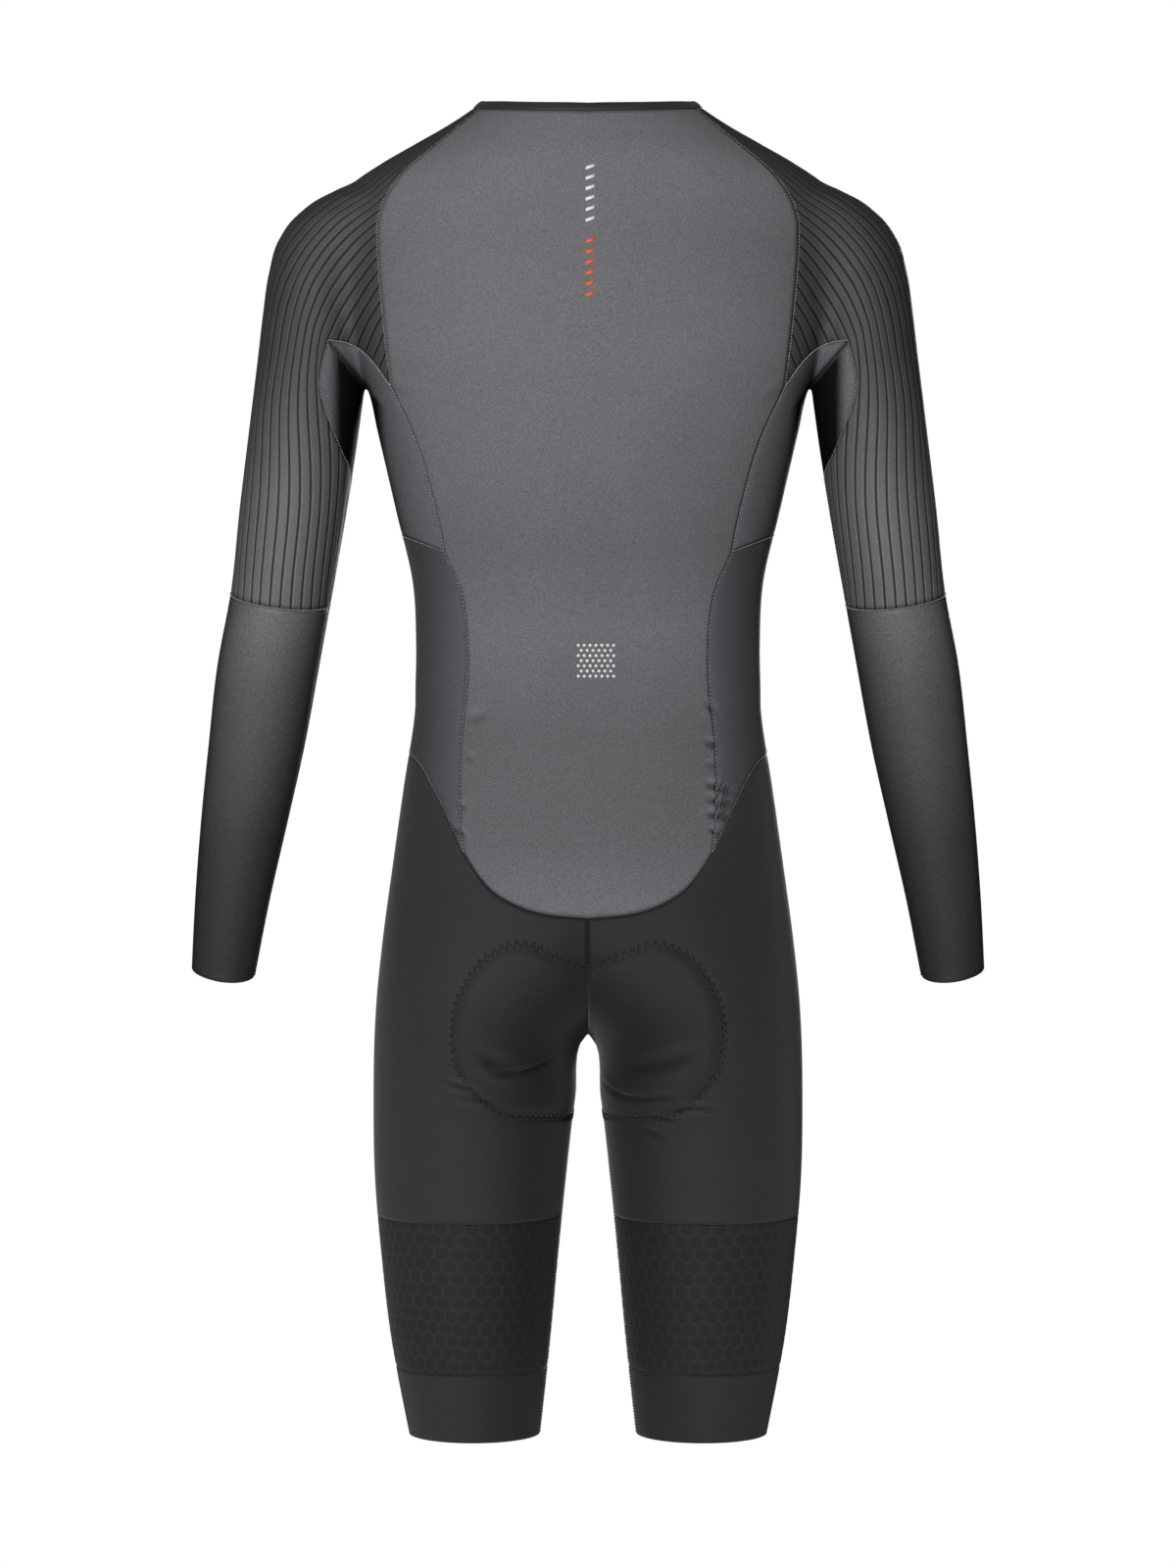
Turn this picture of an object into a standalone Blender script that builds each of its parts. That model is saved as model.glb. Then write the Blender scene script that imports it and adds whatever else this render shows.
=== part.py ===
"""A long-sleeved one-piece cycling skinsuit for time trials, in metres, +Z up.

The suit is filled out as if worn, with nobody in it: every panel is a thin wall on one smooth hollow
figure. The wearer would face -Y, so the back, which the zip is not on, looks along +Y. +X is the
wearer's left. The origin is in the middle of the neck opening, level with the tops of the shoulders.

How the shape is made:
1. `figure` says how far a point is outside the filled-out form, from two short tables of sections.
2. A `Chart` gives places on that form by an angle round a core line and a distance along it.
3. Seams are smooth lines on the form. Each panel fills the space between its seams with a grid.
4. `sew` turns a grid into a cloth wall, drawn back from its seams by half the gap between pieces.
"""

import math

import bmesh
import bpy
import numpy as np

MM = 0.001
CLOTH = 1.2 * MM  # thickness of every cloth wall
SEAM_GAP = 0.3 * MM  # left between two pieces that are sewn together
NECK_BACK_ANGLE = 21.0  # degrees round the neck, from the shoulder to where the back panel starts
NECK_FRONT_ANGLE = -34.0  # the same, to where the front panel starts
ZIP_HALF_WIDTH = 5.0 * MM
WAIST_FRONT_DOWN = 456 * MM  # where the zip ends and the shorts begin, at the front
BAND_TOP_DOWN = 845 * MM  # the patterned thigh band's upper edge
HEM_TOP_DOWN = 960 * MM  # the woven hem band's upper edge
HEM_DOWN = 1012 * MM  # the edge of the legs
PAD_THICKNESS = 7.0 * MM
PAD_EDGE = 2.0 * MM
PAD_SINK = 5.2 * MM  # the pad's outer face inside the form, clear of the flat facets of the shorts
PAD_TOP_DOWN = 652 * MM  # the pad's upper end on the middle seam
CROTCH_CORE_DOWN = 620 * MM  # where the middle seam is measured from, inside the hips
RING_CUT = 0.002 * MM  # opens a ring of cloth along its closing seam, so that it has two edges there
LEAST_MITRE = 0.35  # keeps sharp corners from being drawn back too far

# Horizontal sections of the trunk and legs, in millimetres. `lobe` is how far each half's centre is
# from the middle: nought down to the waist, then the two halves part and become the legs.
BODY = (
    ("down", "lobe", "half_width", "back", "front", "power"),
    (-14, 0, 74, 52, 40, 2.0),
    (0, 0, 88, 62, 48, 2.0),
    (13, 0, 107, 71, 54, 2.0),
    (28, 0, 133, 80, 60, 2.0),
    (43, 0, 159, 88, 66, 2.0),
    (60, 0, 183, 94, 73, 2.0),
    (80, 0, 194, 99, 80, 2.0),
    (110, 0, 193, 103, 90, 2.1),
    (150, 0, 189, 106, 100, 2.2),
    (180, 0, 183, 106, 106, 2.28),
    (198, 0, 176, 106, 109, 2.32),
    (216, 0, 168, 105, 111, 2.34),
    (246, 0, 161, 103, 113, 2.3),
    (306, 0, 147, 97, 113, 2.28),
    (366, 0, 133.5, 87, 108, 2.3),
    (410, 0, 131.5, 80, 103, 2.35),
    (456, 0, 132, 77, 100, 2.4),
    (516, 6, 140.6, 83, 101, 2.4),
    (576, 20, 149, 95, 101, 2.4),
    (636, 46, 157, 106, 98, 2.4),
    (680, 69, 161.5, 107, 94, 2.3),
    (705, 82, 163, 103, 91, 2.2),
    (756, 87, 164, 93, 86, 2.1),
    (816, 90, 163, 84, 82, 2.0),
    (876, 90.5, 158, 77, 77, 2.0),
    (936, 89.8, 151, 69, 71, 2.0),
    (996, 87.5, 140, 58, 64, 2.0),
    (1030, 86, 133, 52, 59, 2.0),
)
# Horizontal sections of the arm: its centre, outward and to the back, and its half width and depth.
ARM = (
    ("down", "out", "back", "half_width", "half_depth"),
    (62, 176, 2, 4, 4),
    (70, 183, 2, 20, 28),
    (82, 190, 2, 32, 41),
    (100, 197, 2, 39, 47),
    (126, 203, 1, 41, 50),
    (156, 207, 0, 41.5, 51),
    (186, 210, 0, 42, 50),
    (246, 217.5, -2, 42, 47),
    (306, 226, -5, 41, 45),
    (366, 234.8, -11, 39, 42),
    (425, 246.7, -27, 39.3, 41),
    (486, 257.2, -46, 37.3, 38),
    (547, 268.5, -64, 33.7, 33.5),
    (608, 279.2, -82, 29.2, 29),
    (668, 288, -100, 25, 26),
)
# How softly the arm runs into the trunk: wide over the shoulder, a crease in the armpit.
ARM_BLEND = (("down", "soft"), (50, 40), (120, 26), (170, 14), (200, 9), (250, 8))
# The neckline and the collar's free edge, by the angle round the neck: 90 is the middle of the back.
NECK = (
    ("angle", "seam", "edge"),
    (-90, 76, 66),
    (-62, 60, 50),
    (-34, 26, 17),
    (-12, 5, -3),
    (4, 0, -7),
    (21, 5, -3),
    (50, 13, 4),
    (90, 17, 7),
)
# Planes across the sleeve, from the neck to the cuff. Each goes through a place on the sleeve's outer
# ridge, leans up from the level by `lean`, and has the core line `depth` inside the ridge.
SLEEVE_FAN = (
    ("ridge_out", "ridge_down", "lean", "depth", "pitch", "core_back"),
    (89, -1, 40, 24, 0, 0),
    (117, 18, 58, 28, 0, 0),
    (152, 37, 60, 38, 0, 0),
    (185, 53, 54, 52, 0, 0),
    (214, 71, 47, 62, 0, 0),
    (234, 93, 42, 70, 0, 0),
    (241, 114, 40, 72, 0, 0),
    (246, 138, 37, 74, 0, 0),
    (251, 160, 24, 58, 0, 0),
    (255, 202, 12, 45, 1, 0),
    (259.5, 246, 8, 42, 3, -2),
    (267, 306, 8, 41, 6, -5),
    (274, 366, 8, 39, 12, -11),
    (286, 425, 9, 39, 17, -27),
    (294.5, 486, 9, 37, 18, -46),
    (302, 547, 9, 33.5, 18, -64),
    (308.5, 608, 9, 29, 18, -82),
    (313, 668, 9, 25, 18, -100),
)
ELBOW_ROW = 12.05
CUFF_ROW = 16.86
# The rows between which each part of a seam is looked for.
SHOULDER_ROWS, ARMPIT_ROWS = (0, 10.0), (7.0, 10.0)
UPPER_ARM_ROWS, INNER_ARM_ROWS = (7.0, 12.6), (8.0, 12.5)
FLANK_ROWS, TIP_ROWS = (0, 3.0), (10.0, 13.0)
INNER_ARM_TIP = 0.28  # rows from the last point seen square on to the panel's tip
# Planes across the underarm panel, from the flank over the armpit to the inside of the arm. Each goes
# from a place inside the suit (core) towards one in the air under the arm.
UNDERARM_FAN = (
    ("core_out", "core_down", "air_out", "air_down"),
    (60, 360, 200, 360),
    (65, 330, 200, 330),
    (70, 300, 200, 300),
    (76, 268, 190, 270),
    (84, 238, 176, 242),
    (96, 205, 171, 226),
    (122, 152, 170, 223),
    (168, 120, 170, 222),
    (212, 140, 171, 222),
    (222, 184, 171, 223),
    (220, 214, 172, 226),
    (219, 240, 174, 240),
    (220, 262, 176, 262),
    (222, 288, 178, 288),
    (225, 310, 180, 310),
)
# Seams seen square on, in millimetres out from the middle and down from the origin.
RAGLAN_BACK = (
    ("out", "down"),
    (110, 30),
    (140.6, 58),
    (156, 84),
    (158.3, 111),
    (154, 165),
    (148.3, 217),
)
RAGLAN_FRONT = (
    ("out", "down"),
    (98, 55),
    (117, 88),
    (131, 124),
    (142, 170),
    (148.3, 217),
)
SIDE_BACK = (
    ("out", "down"),
    (148.3, 217),
    (128, 262),
    (114, 312),
    (108.1, 342),
)
SIDE_FRONT = (
    ("out", "down"),
    (148.3, 217),
    (132, 255),
    (119, 295),
    (112, 322),
)
WAIST_BACK = (
    ("out", "down"),
    (108.1, 342),
    (94, 377),
    (90.4, 428),
    (95.8, 490),
    (95.3, 540),
    (92.8, 567),
)
WAIST_FRONT = (
    ("out", "down"),
    (112, 322),
    (102, 362),
    (98, 410),
    (99, 450),
    (100, 478),
)
ARMPIT_SEAM = (
    ("out", "down"),
    (148.3, 217),
    (163, 196.7),
    (178, 184),
    (196, 181),
)
INNER_ARM_SEAM = (
    ("out", "down"),
    (196, 181),
    (202.5, 212),
    (198.4, 234),
    (185.4, 267.3),
)
TAIL = (  # the rounded lower edge of the back panel
    ("out", "down"),
    (92.8, 567),
    (80.9, 584.5),
    (69.1, 596.7),
    (50.1, 607),
    (29.8, 612.6),
    (0, 615.5),
)
PANEL_CUT = (  # between the underarm and lower side panels, by the angle round the trunk
    ("angle", "down"),
    (-44, 322),
    (0, 325),
    (20, 334),
    (30.5, 342),
)
HIP_SEAM = (  # between the lower side panel and the shorts, by the angle round the trunk
    ("angle", "down"),
    (-45, 478),
    (0, 490),
    (20, 505),
    (33, 540),
    (41.3, 567),
)
# The pad's outline on the left half, by the angle round the leg's core: 180 is the inside of the leg.
PAD_OUTLINE = (
    ("angle", "down"),
    (113, 634),
    (98, 652),
    (88, 680),
    (86, 712),
    (91, 744),
    (106, 762),
    (128, 767),
    (180, 768),
    (216, 757),
    (236, 735),
    (248, 705),
    (247, 672),
    (240, 650),
)

# The zip's slider and pull tab, in millimetres: (across, down) plans, and a (down, out) side view.
SLIDER_DOWN = 88 * MM
SLIDER_CLEAR = 0.4 * MM
SLIDER_HEIGHT = 2.4
SLIDER_PLAN = (
    (-4.2, -5.0), (-2.4, -5.8), (2.4, -5.8), (4.2, -5.0), (4.2, -1.0), (3.2, 5.0), (-3.2, 5.0), (-4.2, -1.0),
)
BRIDGE_WIDTH = 2.4
BRIDGE_SIDE = (
    (-4.2, 2.0), (-4.2, 5.2), (-3.2, 6.1), (3.2, 6.1), (4.2, 5.2), (4.2, 2.0),
    (3.0, 2.0), (3.0, 4.5), (2.6, 4.9), (-2.6, 4.9), (-3.0, 4.5), (-3.0, 2.0),
)
HINGE_OUT = 3.65  # the pull's bar, out from the slider's underside
PULL_THICKNESS = 1.2
PULL_OUTLINE = (
    (-3.2, -0.6), (3.2, -0.6), (3.2, 3.0), (3.2, 8.0), (3.6, 21.0), (2.2, 23.5), (-2.2, 23.5), (-3.6, 21.0),
    (-3.2, 8.0), (-3.2, 3.0),
)
PULL_HOLE = (
    (-2.0, 0.6), (2.0, 0.6), (2.0, 2.4), (2.0, 4.4), (1.6, 5.2), (0.6, 5.4), (-0.6, 5.4), (-1.6, 5.2),
    (-2.0, 4.4), (-2.0, 2.4),
)

# How many cells each seam is cut into. The two panels on a seam share its points.
RAGLAN_CELLS, SIDE_CELLS, WAIST_CELLS = 10, 5, 6
ARMPIT_CELLS, INNER_ARM_CELLS, ARM_ROUND_CELLS = 2, 4, 12
LOW_SLEEVE_CELLS, FOREARM_CELLS = 4, 7
NECK_BACK_CELLS, NECK_FRONT_CELLS = 10, 5
PANEL_CUT_CELLS = 6
SEAT_CELLS, LEG_CELLS, BAND_CELLS, HEM_CELLS = 6, 5, 3, 2
CROTCH_CROWD = 1.4  # rows lie closer towards the crotch, where the form turns most
PAD_LONG_CELLS, PAD_WIDE_CELLS = 14, 4
LEG_ROUND_CELLS = NECK_BACK_CELLS // 2 + PANEL_CUT_CELLS + NECK_FRONT_CELLS

COLOURS = {  # name: colour, roughness
    "back_grey": ((0.135, 0.133, 0.145), 0.75),
    "side_grey": ((0.100, 0.099, 0.110), 0.7),
    "lower_side_grey": ((0.045, 0.044, 0.050), 0.7),
    "ribbed_grey": ((0.085, 0.083, 0.088), 0.6),
    "forearm_black": ((0.060, 0.056, 0.058), 0.5),
    "shorts_black": ((0.026, 0.027, 0.031), 0.75),
    "band_black": ((0.016, 0.017, 0.020), 0.7),
    "hem_black": ((0.024, 0.023, 0.028), 0.7),
    "collar_black": ((0.022, 0.022, 0.024), 0.6),
    "pad_grey": ((0.060, 0.060, 0.065), 0.9),
    "zip_black": ((0.012, 0.012, 0.013), 0.5),
    "zip_metal": ((0.030, 0.030, 0.032), 0.35),
}


# --- smooth lines through short tables -----------------------------------------------------------


def smooth(knots, values):
    """The smooth curve through these values at these knots, as a function. It is level past the ends."""
    knots, values = np.asarray(knots, float), np.asarray(values, float)
    slopes = np.gradient(values, knots, axis=0)

    def at(place):
        place = np.clip(place, knots[0], knots[-1])
        i = np.clip(np.searchsorted(knots, place) - 1, 0, len(knots) - 2)
        step = knots[i + 1] - knots[i]
        share = (place - knots[i]) / step
        if values.ndim > 1:
            share, step = share[..., None], step[..., None]
        rest = 1 - share
        return (
            (1 + 2 * share) * rest**2 * values[i]
            + share * rest**2 * step * slopes[i]
            + share**2 * (3 - 2 * share) * values[i + 1]
            - share**2 * rest * step * slopes[i + 1]
        )

    return at


def columns(table, plain=()):
    """Each named column as a smooth function of the first, in metres. `plain` columns keep their unit."""
    names, *rows = table
    data = np.array(rows, float)
    scale = {name: 1.0 if name in plain else MM for name in names}
    first = data[:, 0] * scale[names[0]]
    return {
        name: smooth(first, data[:, i] * scale[name])
        for i, name in enumerate(names[1:], 1)
    }


body = columns(BODY, plain=("power",))
arm = columns(ARM)
arm_blend = columns(ARM_BLEND)["soft"]
neck = columns(NECK, plain=("angle",))
panel_cut = columns(PANEL_CUT, plain=("angle",))["down"]
hip_seam = columns(HIP_SEAM, plain=("angle",))["down"]


# --- the filled-out form -------------------------------------------------------------------------


def ellipse(x, y, half_width, depth, power):
    """How far a point is outside an ellipse, along the line from its centre."""
    reach = np.hypot(x, y)
    share = (np.abs(x / half_width) ** power + np.abs(y / depth) ** power) ** (1 / power)
    return reach - reach / np.maximum(share, 1e-6)


def union(first, second, soft):
    near = np.maximum(soft - np.abs(first - second), 0) / soft
    return np.minimum(first, second) - near**2 * soft / 4


def figure(points):
    """How far each point is outside the form, roughly: nought on it and negative inside."""
    x, y, down = np.abs(points[..., 0]), points[..., 1], -points[..., 2]
    lobe = body["lobe"](down)
    half_width = body["half_width"](down) - lobe
    depth = np.where(y > 0, body["back"](down), body["front"](down))
    power = body["power"](down)
    near_half = ellipse(x - lobe, y, half_width, depth, power)
    far_half = ellipse(x + lobe, y, half_width, depth, power)
    trunk = union(near_half, far_half, 0.1 * MM + 0.12 * lobe)
    arm_x, arm_y = x - arm["out"](down), y - arm["back"](down)
    sleeve = ellipse(arm_x, arm_y, arm["half_width"](down), arm["half_depth"](down), 2.0)
    past_ends = np.maximum(down - 680 * MM, 0) + np.maximum(62 * MM - down, 0)
    return union(trunk, sleeve + 5 * past_ends, arm_blend(down))


def outward(points):
    """The unit normals of the form."""
    step = 0.2 * MM
    slope = [
        figure(points + step * axis) - figure(points - step * axis) for axis in np.eye(3)
    ]
    slope = np.stack(slope, axis=-1)
    return slope / np.linalg.norm(slope, axis=-1, keepdims=True)


def reach_form(starts, directions):
    """Where rays from inside meet the form."""
    travelled = np.full(starts.shape[:-1], 1 * MM)
    for _ in range(70):
        at = starts + travelled[..., None] * directions
        travelled = travelled - 0.6 * figure(at)
    return starts + travelled[..., None] * directions


def project(out, down, to_back):
    """The places on the trunk seen square on at these distances, from behind or from in front."""
    starts = np.stack([out, np.zeros_like(out), -down], axis=-1)
    return reach_form(starts, np.broadcast_to([0, 1 if to_back else -1, 0], starts.shape))


# --- charts: places on the form by angle and row --------------------------------------------------


class Chart:
    """Places on the form by an angle, in degrees, round a core line, and a row along it."""

    def __init__(self, last_row, frame):
        self.last_row = last_row
        self.frame = frame  # row -> core point, unit vector at angle 0, unit vector at angle 90

    def place(self, angle, row):
        core, ahead, aside = self.frame(row)
        turn = np.radians(angle)[..., None]
        return reach_form(core, np.cos(turn) * ahead + np.sin(turn) * aside)

    def read(self, points, rows=None, in_order=False):
        """(angle, row) of points on the form, looking only between two rows.

        With in_order, each point's row is past the one before, as along a seam that folds back.
        """
        low, high = rows or (0, self.last_row)
        trial = np.linspace(low, high, 600)
        core, ahead, aside = self.frame(trial)
        across = np.cross(ahead, aside)
        height = ((points[:, None] - core) * across).sum(-1)
        found = np.empty(len(points))
        first = 0
        for i, line in enumerate(height):
            crossings = np.flatnonzero(line[:-1] * line[1:] <= 0)
            crossings = crossings[crossings >= first]
            if len(crossings):
                j = crossings[0]
                share = line[j] / (line[j] - line[j + 1])
                found[i] = trial[j] + (trial[j + 1] - trial[j]) * share
                first = j if in_order else 0
            else:
                found[i] = trial[first + np.abs(line[first:]).argmin()]
        core, ahead, aside = self.frame(found)
        offset = points - core
        angle = np.degrees(np.arctan2((offset * aside).sum(-1), (offset * ahead).sum(-1)))
        return angle, found


def rows_of(table):
    names, *rows = table
    return np.arange(len(rows)), dict(zip(names, np.array(rows, float).T))


def sleeve_frame():
    row, fan = rows_of(SLEEVE_FAN)
    at = {name: smooth(row, values) for name, values in fan.items()}

    def frame(place):
        lean, pitch = np.radians(at["lean"](place)), np.radians(at["pitch"](place))
        still = np.zeros_like(lean)
        ahead = np.stack([np.cos(lean), still, np.sin(lean)], axis=-1)
        aside = np.stack([still, np.cos(pitch), -np.sin(pitch)], axis=-1)
        ridge = [at["ridge_out"](place), at["core_back"](place), -at["ridge_down"](place)]
        core = np.stack(ridge, axis=-1) - at["depth"](place)[..., None] * ahead
        return core * MM, ahead, aside

    return frame


def underarm_frame():
    row, fan = rows_of(UNDERARM_FAN)
    at = {name: smooth(row, values) for name, values in fan.items()}

    def frame(place):
        still = np.zeros_like(at["core_out"](place))
        core = np.stack([at["core_out"](place), still, -at["core_down"](place)], axis=-1)
        air = np.stack([at["air_out"](place), still, -at["air_down"](place)], axis=-1)
        ahead = air - core
        ahead /= np.linalg.norm(ahead, axis=-1, keepdims=True)
        aside = np.broadcast_to([0.0, 1.0, 0.0], core.shape)
        return core * MM, ahead, aside

    return frame


def upright_frame(core_out):
    """Level planes round an upright core line. The row is the distance down, in metres."""

    def frame(down):
        still = np.zeros_like(down)
        core = np.stack([core_out(down), still, -down], axis=-1)
        ahead = np.broadcast_to([1.0, 0.0, 0.0], core.shape)
        aside = np.broadcast_to([0.0, 1.0, 0.0], core.shape)
        return core, ahead, aside

    return frame


TRUNK = Chart(1.03, upright_frame(np.zeros_like))
LEG = Chart(1.03, upright_frame(body["lobe"]))
SLEEVE = Chart(len(SLEEVE_FAN) - 2, sleeve_frame())
UNDERARM = Chart(len(UNDERARM_FAN) - 2, underarm_frame())


# --- seams ------------------------------------------------------------------------------------------


def evenly(points, cells, crowd=1.0):
    """Points along a line, both ends kept: the same distance apart, or with `crowd` closer at the end."""
    steps = np.linalg.norm(np.diff(points, axis=0), axis=-1)
    along = np.concatenate([[0], np.cumsum(steps)])
    wanted = along[-1] * (1 - np.linspace(1, 0, cells + 1) ** crowd)
    return np.stack([np.interp(wanted, along, column) for column in points.T], axis=-1)


def settle(points):
    """Moves points that are near the form on to it."""
    for _ in range(6):
        points = points - figure(points)[..., None] * 0.8 * outward(points)
    return points


def seam(table, cells, to_back=True, first=None):
    """A seam through a table's places, seen square on. `first` is a point that it starts from."""
    data = np.array(table[1:], float) * MM
    if first is not None:
        data = np.vstack([[first[0], -first[2]], data])
    line = smooth(np.arange(len(data)), data)(np.linspace(0, len(data) - 1, 200))
    return settle(evenly(project(line[:, 0], line[:, 1], to_back), cells))


def round_trunk(down_at, start, end, cells):
    """A seam round the trunk from one angle to another, at the depth that down_at gives."""
    angle = np.linspace(start, end, 200)
    return settle(evenly(TRUNK.place(angle, down_at(angle)), cells))


def angle_of(point):
    return math.degrees(math.atan2(point[1], point[0]))


def join(*lines):
    """One line from several, each starting where the last one ends."""
    return np.vstack([lines[0]] + [line[1:] for line in lines[1:]])


def mirrored(points):
    return points * [-1, 1, 1]


def all_seams():
    """Every seam of the left half, as points from top to bottom, or from the back to the front."""
    at = {}
    ends = {"back": NECK_BACK_ANGLE, "front": NECK_FRONT_ANGLE}
    neck_end = {
        side: TRUNK.place(np.array([angle]), neck["seam"](np.array([angle])))[0]
        for side, angle in ends.items()
    }
    at["raglan_back"] = seam(RAGLAN_BACK, RAGLAN_CELLS, True, neck_end["back"])
    at["raglan_front"] = seam(RAGLAN_FRONT, RAGLAN_CELLS, False, neck_end["front"])
    at["side_back"] = seam(SIDE_BACK, SIDE_CELLS, True)
    at["side_front"] = seam(SIDE_FRONT, SIDE_CELLS, False)
    at["waist_back"] = seam(WAIST_BACK, WAIST_CELLS, True)
    at["waist_front"] = seam(WAIST_FRONT, WAIST_CELLS, False)
    for side, to_back in (("back", True), ("front", False)):
        at["armpit_" + side] = seam(ARMPIT_SEAM, ARMPIT_CELLS, to_back)
        # The seam down the inside of the arm ends on the arm's innermost line, where both sides meet.
        line = seam(INNER_ARM_SEAM, 60, to_back)
        angle, row = SLEEVE.read(line, INNER_ARM_ROWS)
        tip_row = row[-1] + INNER_ARM_TIP
        turned = 180.0 if to_back else -180.0
        extra = SLEEVE.place(np.linspace(angle[-1], turned, 12), np.linspace(row[-1], tip_row, 12))
        at["inner_arm_" + side] = settle(evenly(join(line, extra), INNER_ARM_CELLS))
    tip = (at["inner_arm_back"][-1] + at["inner_arm_front"][-1]) / 2
    at["inner_arm_back"][-1] = at["inner_arm_front"][-1] = tip
    at["tail"] = seam(TAIL, NECK_BACK_CELLS // 2, True)
    at["panel_cut"] = round_trunk(
        panel_cut,
        angle_of(at["side_back"][-1]),
        angle_of(at["side_front"][-1]),
        PANEL_CUT_CELLS,
    )
    at["hip"] = round_trunk(
        hip_seam,
        angle_of(at["waist_back"][-1]),
        angle_of(at["waist_front"][-1]),
        PANEL_CUT_CELLS,
    )
    at["neck_back"] = round_trunk(neck["seam"], 90, NECK_BACK_ANGLE, NECK_BACK_CELLS // 2)
    at["neck_shoulder"] = round_trunk(
        neck["seam"],
        NECK_BACK_ANGLE,
        NECK_FRONT_ANGLE,
        2 * ARMPIT_CELLS + ARM_ROUND_CELLS,
    )
    front_downs = {"seam": neck["seam"](-90), "edge": neck["edge"](-90), "waist": WAIST_FRONT_DOWN}
    zip_angle = {
        name: math.degrees(-math.acos(ZIP_HALF_WIDTH / body["front"](down)))
        for name, down in front_downs.items()
    }
    at["neck_front"] = round_trunk(
        neck["seam"], NECK_FRONT_ANGLE, zip_angle["seam"], NECK_FRONT_CELLS
    )
    for name, start, end in (
        ("edge_back", 90, NECK_BACK_ANGLE),
        ("edge_shoulder", NECK_BACK_ANGLE, NECK_FRONT_ANGLE),
        ("edge_front", NECK_FRONT_ANGLE, zip_angle["edge"]),
    ):
        cells = len(at[name.replace("edge", "neck")]) - 1
        at[name] = round_trunk(neck["edge"], start, end, cells)
    # The front waist seam runs from the lower side panel to the zip, rising to the middle.
    hip_end = angle_of(at["waist_front"][-1])
    hip_down = -at["waist_front"][-1][2]

    def waist_down(angle):
        share = np.clip((angle - hip_end) / (-90 - hip_end), 0, 1)
        return hip_down + (WAIST_FRONT_DOWN - hip_down) * np.sin(share * math.pi / 2)

    at["belly"] = round_trunk(waist_down, hip_end, zip_angle["waist"], NECK_FRONT_CELLS)
    return at


def zip_edge(seams):
    """The front panel's edge along the zip, one point for each row of the panel."""
    top, bottom = seams["neck_front"][-1], seams["belly"][-1]
    rows = RAGLAN_CELLS + SIDE_CELLS + WAIST_CELLS
    down = np.linspace(-top[2], -bottom[2], rows + 1)
    line = project(np.full_like(down, ZIP_HALF_WIDTH), down, False)
    line[0], line[-1] = top, bottom
    return line


def crotch_line():
    """The middle seam from the seat under the crotch to the belly, in the plane x = 0."""
    turn = np.radians(np.linspace(0, 180, 400))
    start = np.array([0, 0, -CROTCH_CORE_DOWN])
    down = np.stack([np.zeros_like(turn), np.cos(turn), -np.sin(turn)], axis=-1)
    return reach_form(np.broadcast_to(start, down.shape), down)


def middle_seam(line, start_down, to_back, cells):
    """Half of the middle seam, from a distance down to the crotch."""
    lowest = line[:, 2].argmin()
    half = line[: lowest + 1] if to_back else line[lowest:][::-1]
    below = half[-half[:, 2] > start_down]
    above = np.linspace(start_down, -below[0][2], 20, endpoint=False)
    top = project(np.zeros_like(above), above, to_back)
    return evenly(np.vstack([top, below]), cells, CROTCH_CROWD)


# --- cloth ------------------------------------------------------------------------------------------


def coons(left, right, top, bottom):
    """A grid of places from its four edges: rows run from the left edge to the right one."""
    v = np.linspace(0, 1, len(left))[:, None, None]
    u = np.linspace(0, 1, len(top))[None, :, None]
    across = (1 - u) * left[:, None] + u * right[:, None]
    down = (1 - v) * top[None] + v * bottom[None]
    corners = (
        (1 - u) * (1 - v) * top[0]
        + u * (1 - v) * top[-1]
        + (1 - u) * v * bottom[0]
        + u * v * bottom[-1]
    )
    return across + down - corners


def read_edge(chart, points, rows, near, in_order=False):
    """A line in a chart's (angle, row), unbroken, with its middle within half a turn of `near`."""
    angle, row = chart.read(points, rows, in_order)
    angle = np.degrees(np.unwrap(np.radians(angle)))
    angle += 360 * np.round((near - angle[len(angle) // 2]) / 360)
    return np.stack([angle, row], axis=-1)


def panel(chart, left, right, top, bottom, near, rows=None, top_rows=None, bottom_rows=None):
    """Grid points of a panel between four seams. `near` is an angle near each edge in turn."""
    windows = (rows, rows, top_rows or rows, bottom_rows or rows)
    edges = [
        read_edge(chart, line, window, angle, in_order=i < 2)
        for i, (line, angle, window) in enumerate(zip((left, right, top, bottom), near, windows))
    ]
    grid = coons(*edges)
    points = chart.place(grid[..., 0], grid[..., 1])
    points[:, 0], points[:, -1], points[0], points[-1] = left, right, top, bottom
    return points


class Piece:
    """Points on the form and the four-sided cells between them."""

    def __init__(self):
        self.points, self.cells, self.known = [], [], {}

    def number(self, point):
        key = tuple(np.round(point, 6))
        if key not in self.known:
            self.known[key] = len(self.points)
            self.points.append(point)
        return self.known[key]

    def add(self, grid):
        index = [[self.number(point) for point in row] for row in grid]
        for upper, lower in zip(index, index[1:]):
            for i in range(len(upper) - 1):
                self.cells.append((upper[i], lower[i], lower[i + 1], upper[i + 1]))
        return self


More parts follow.
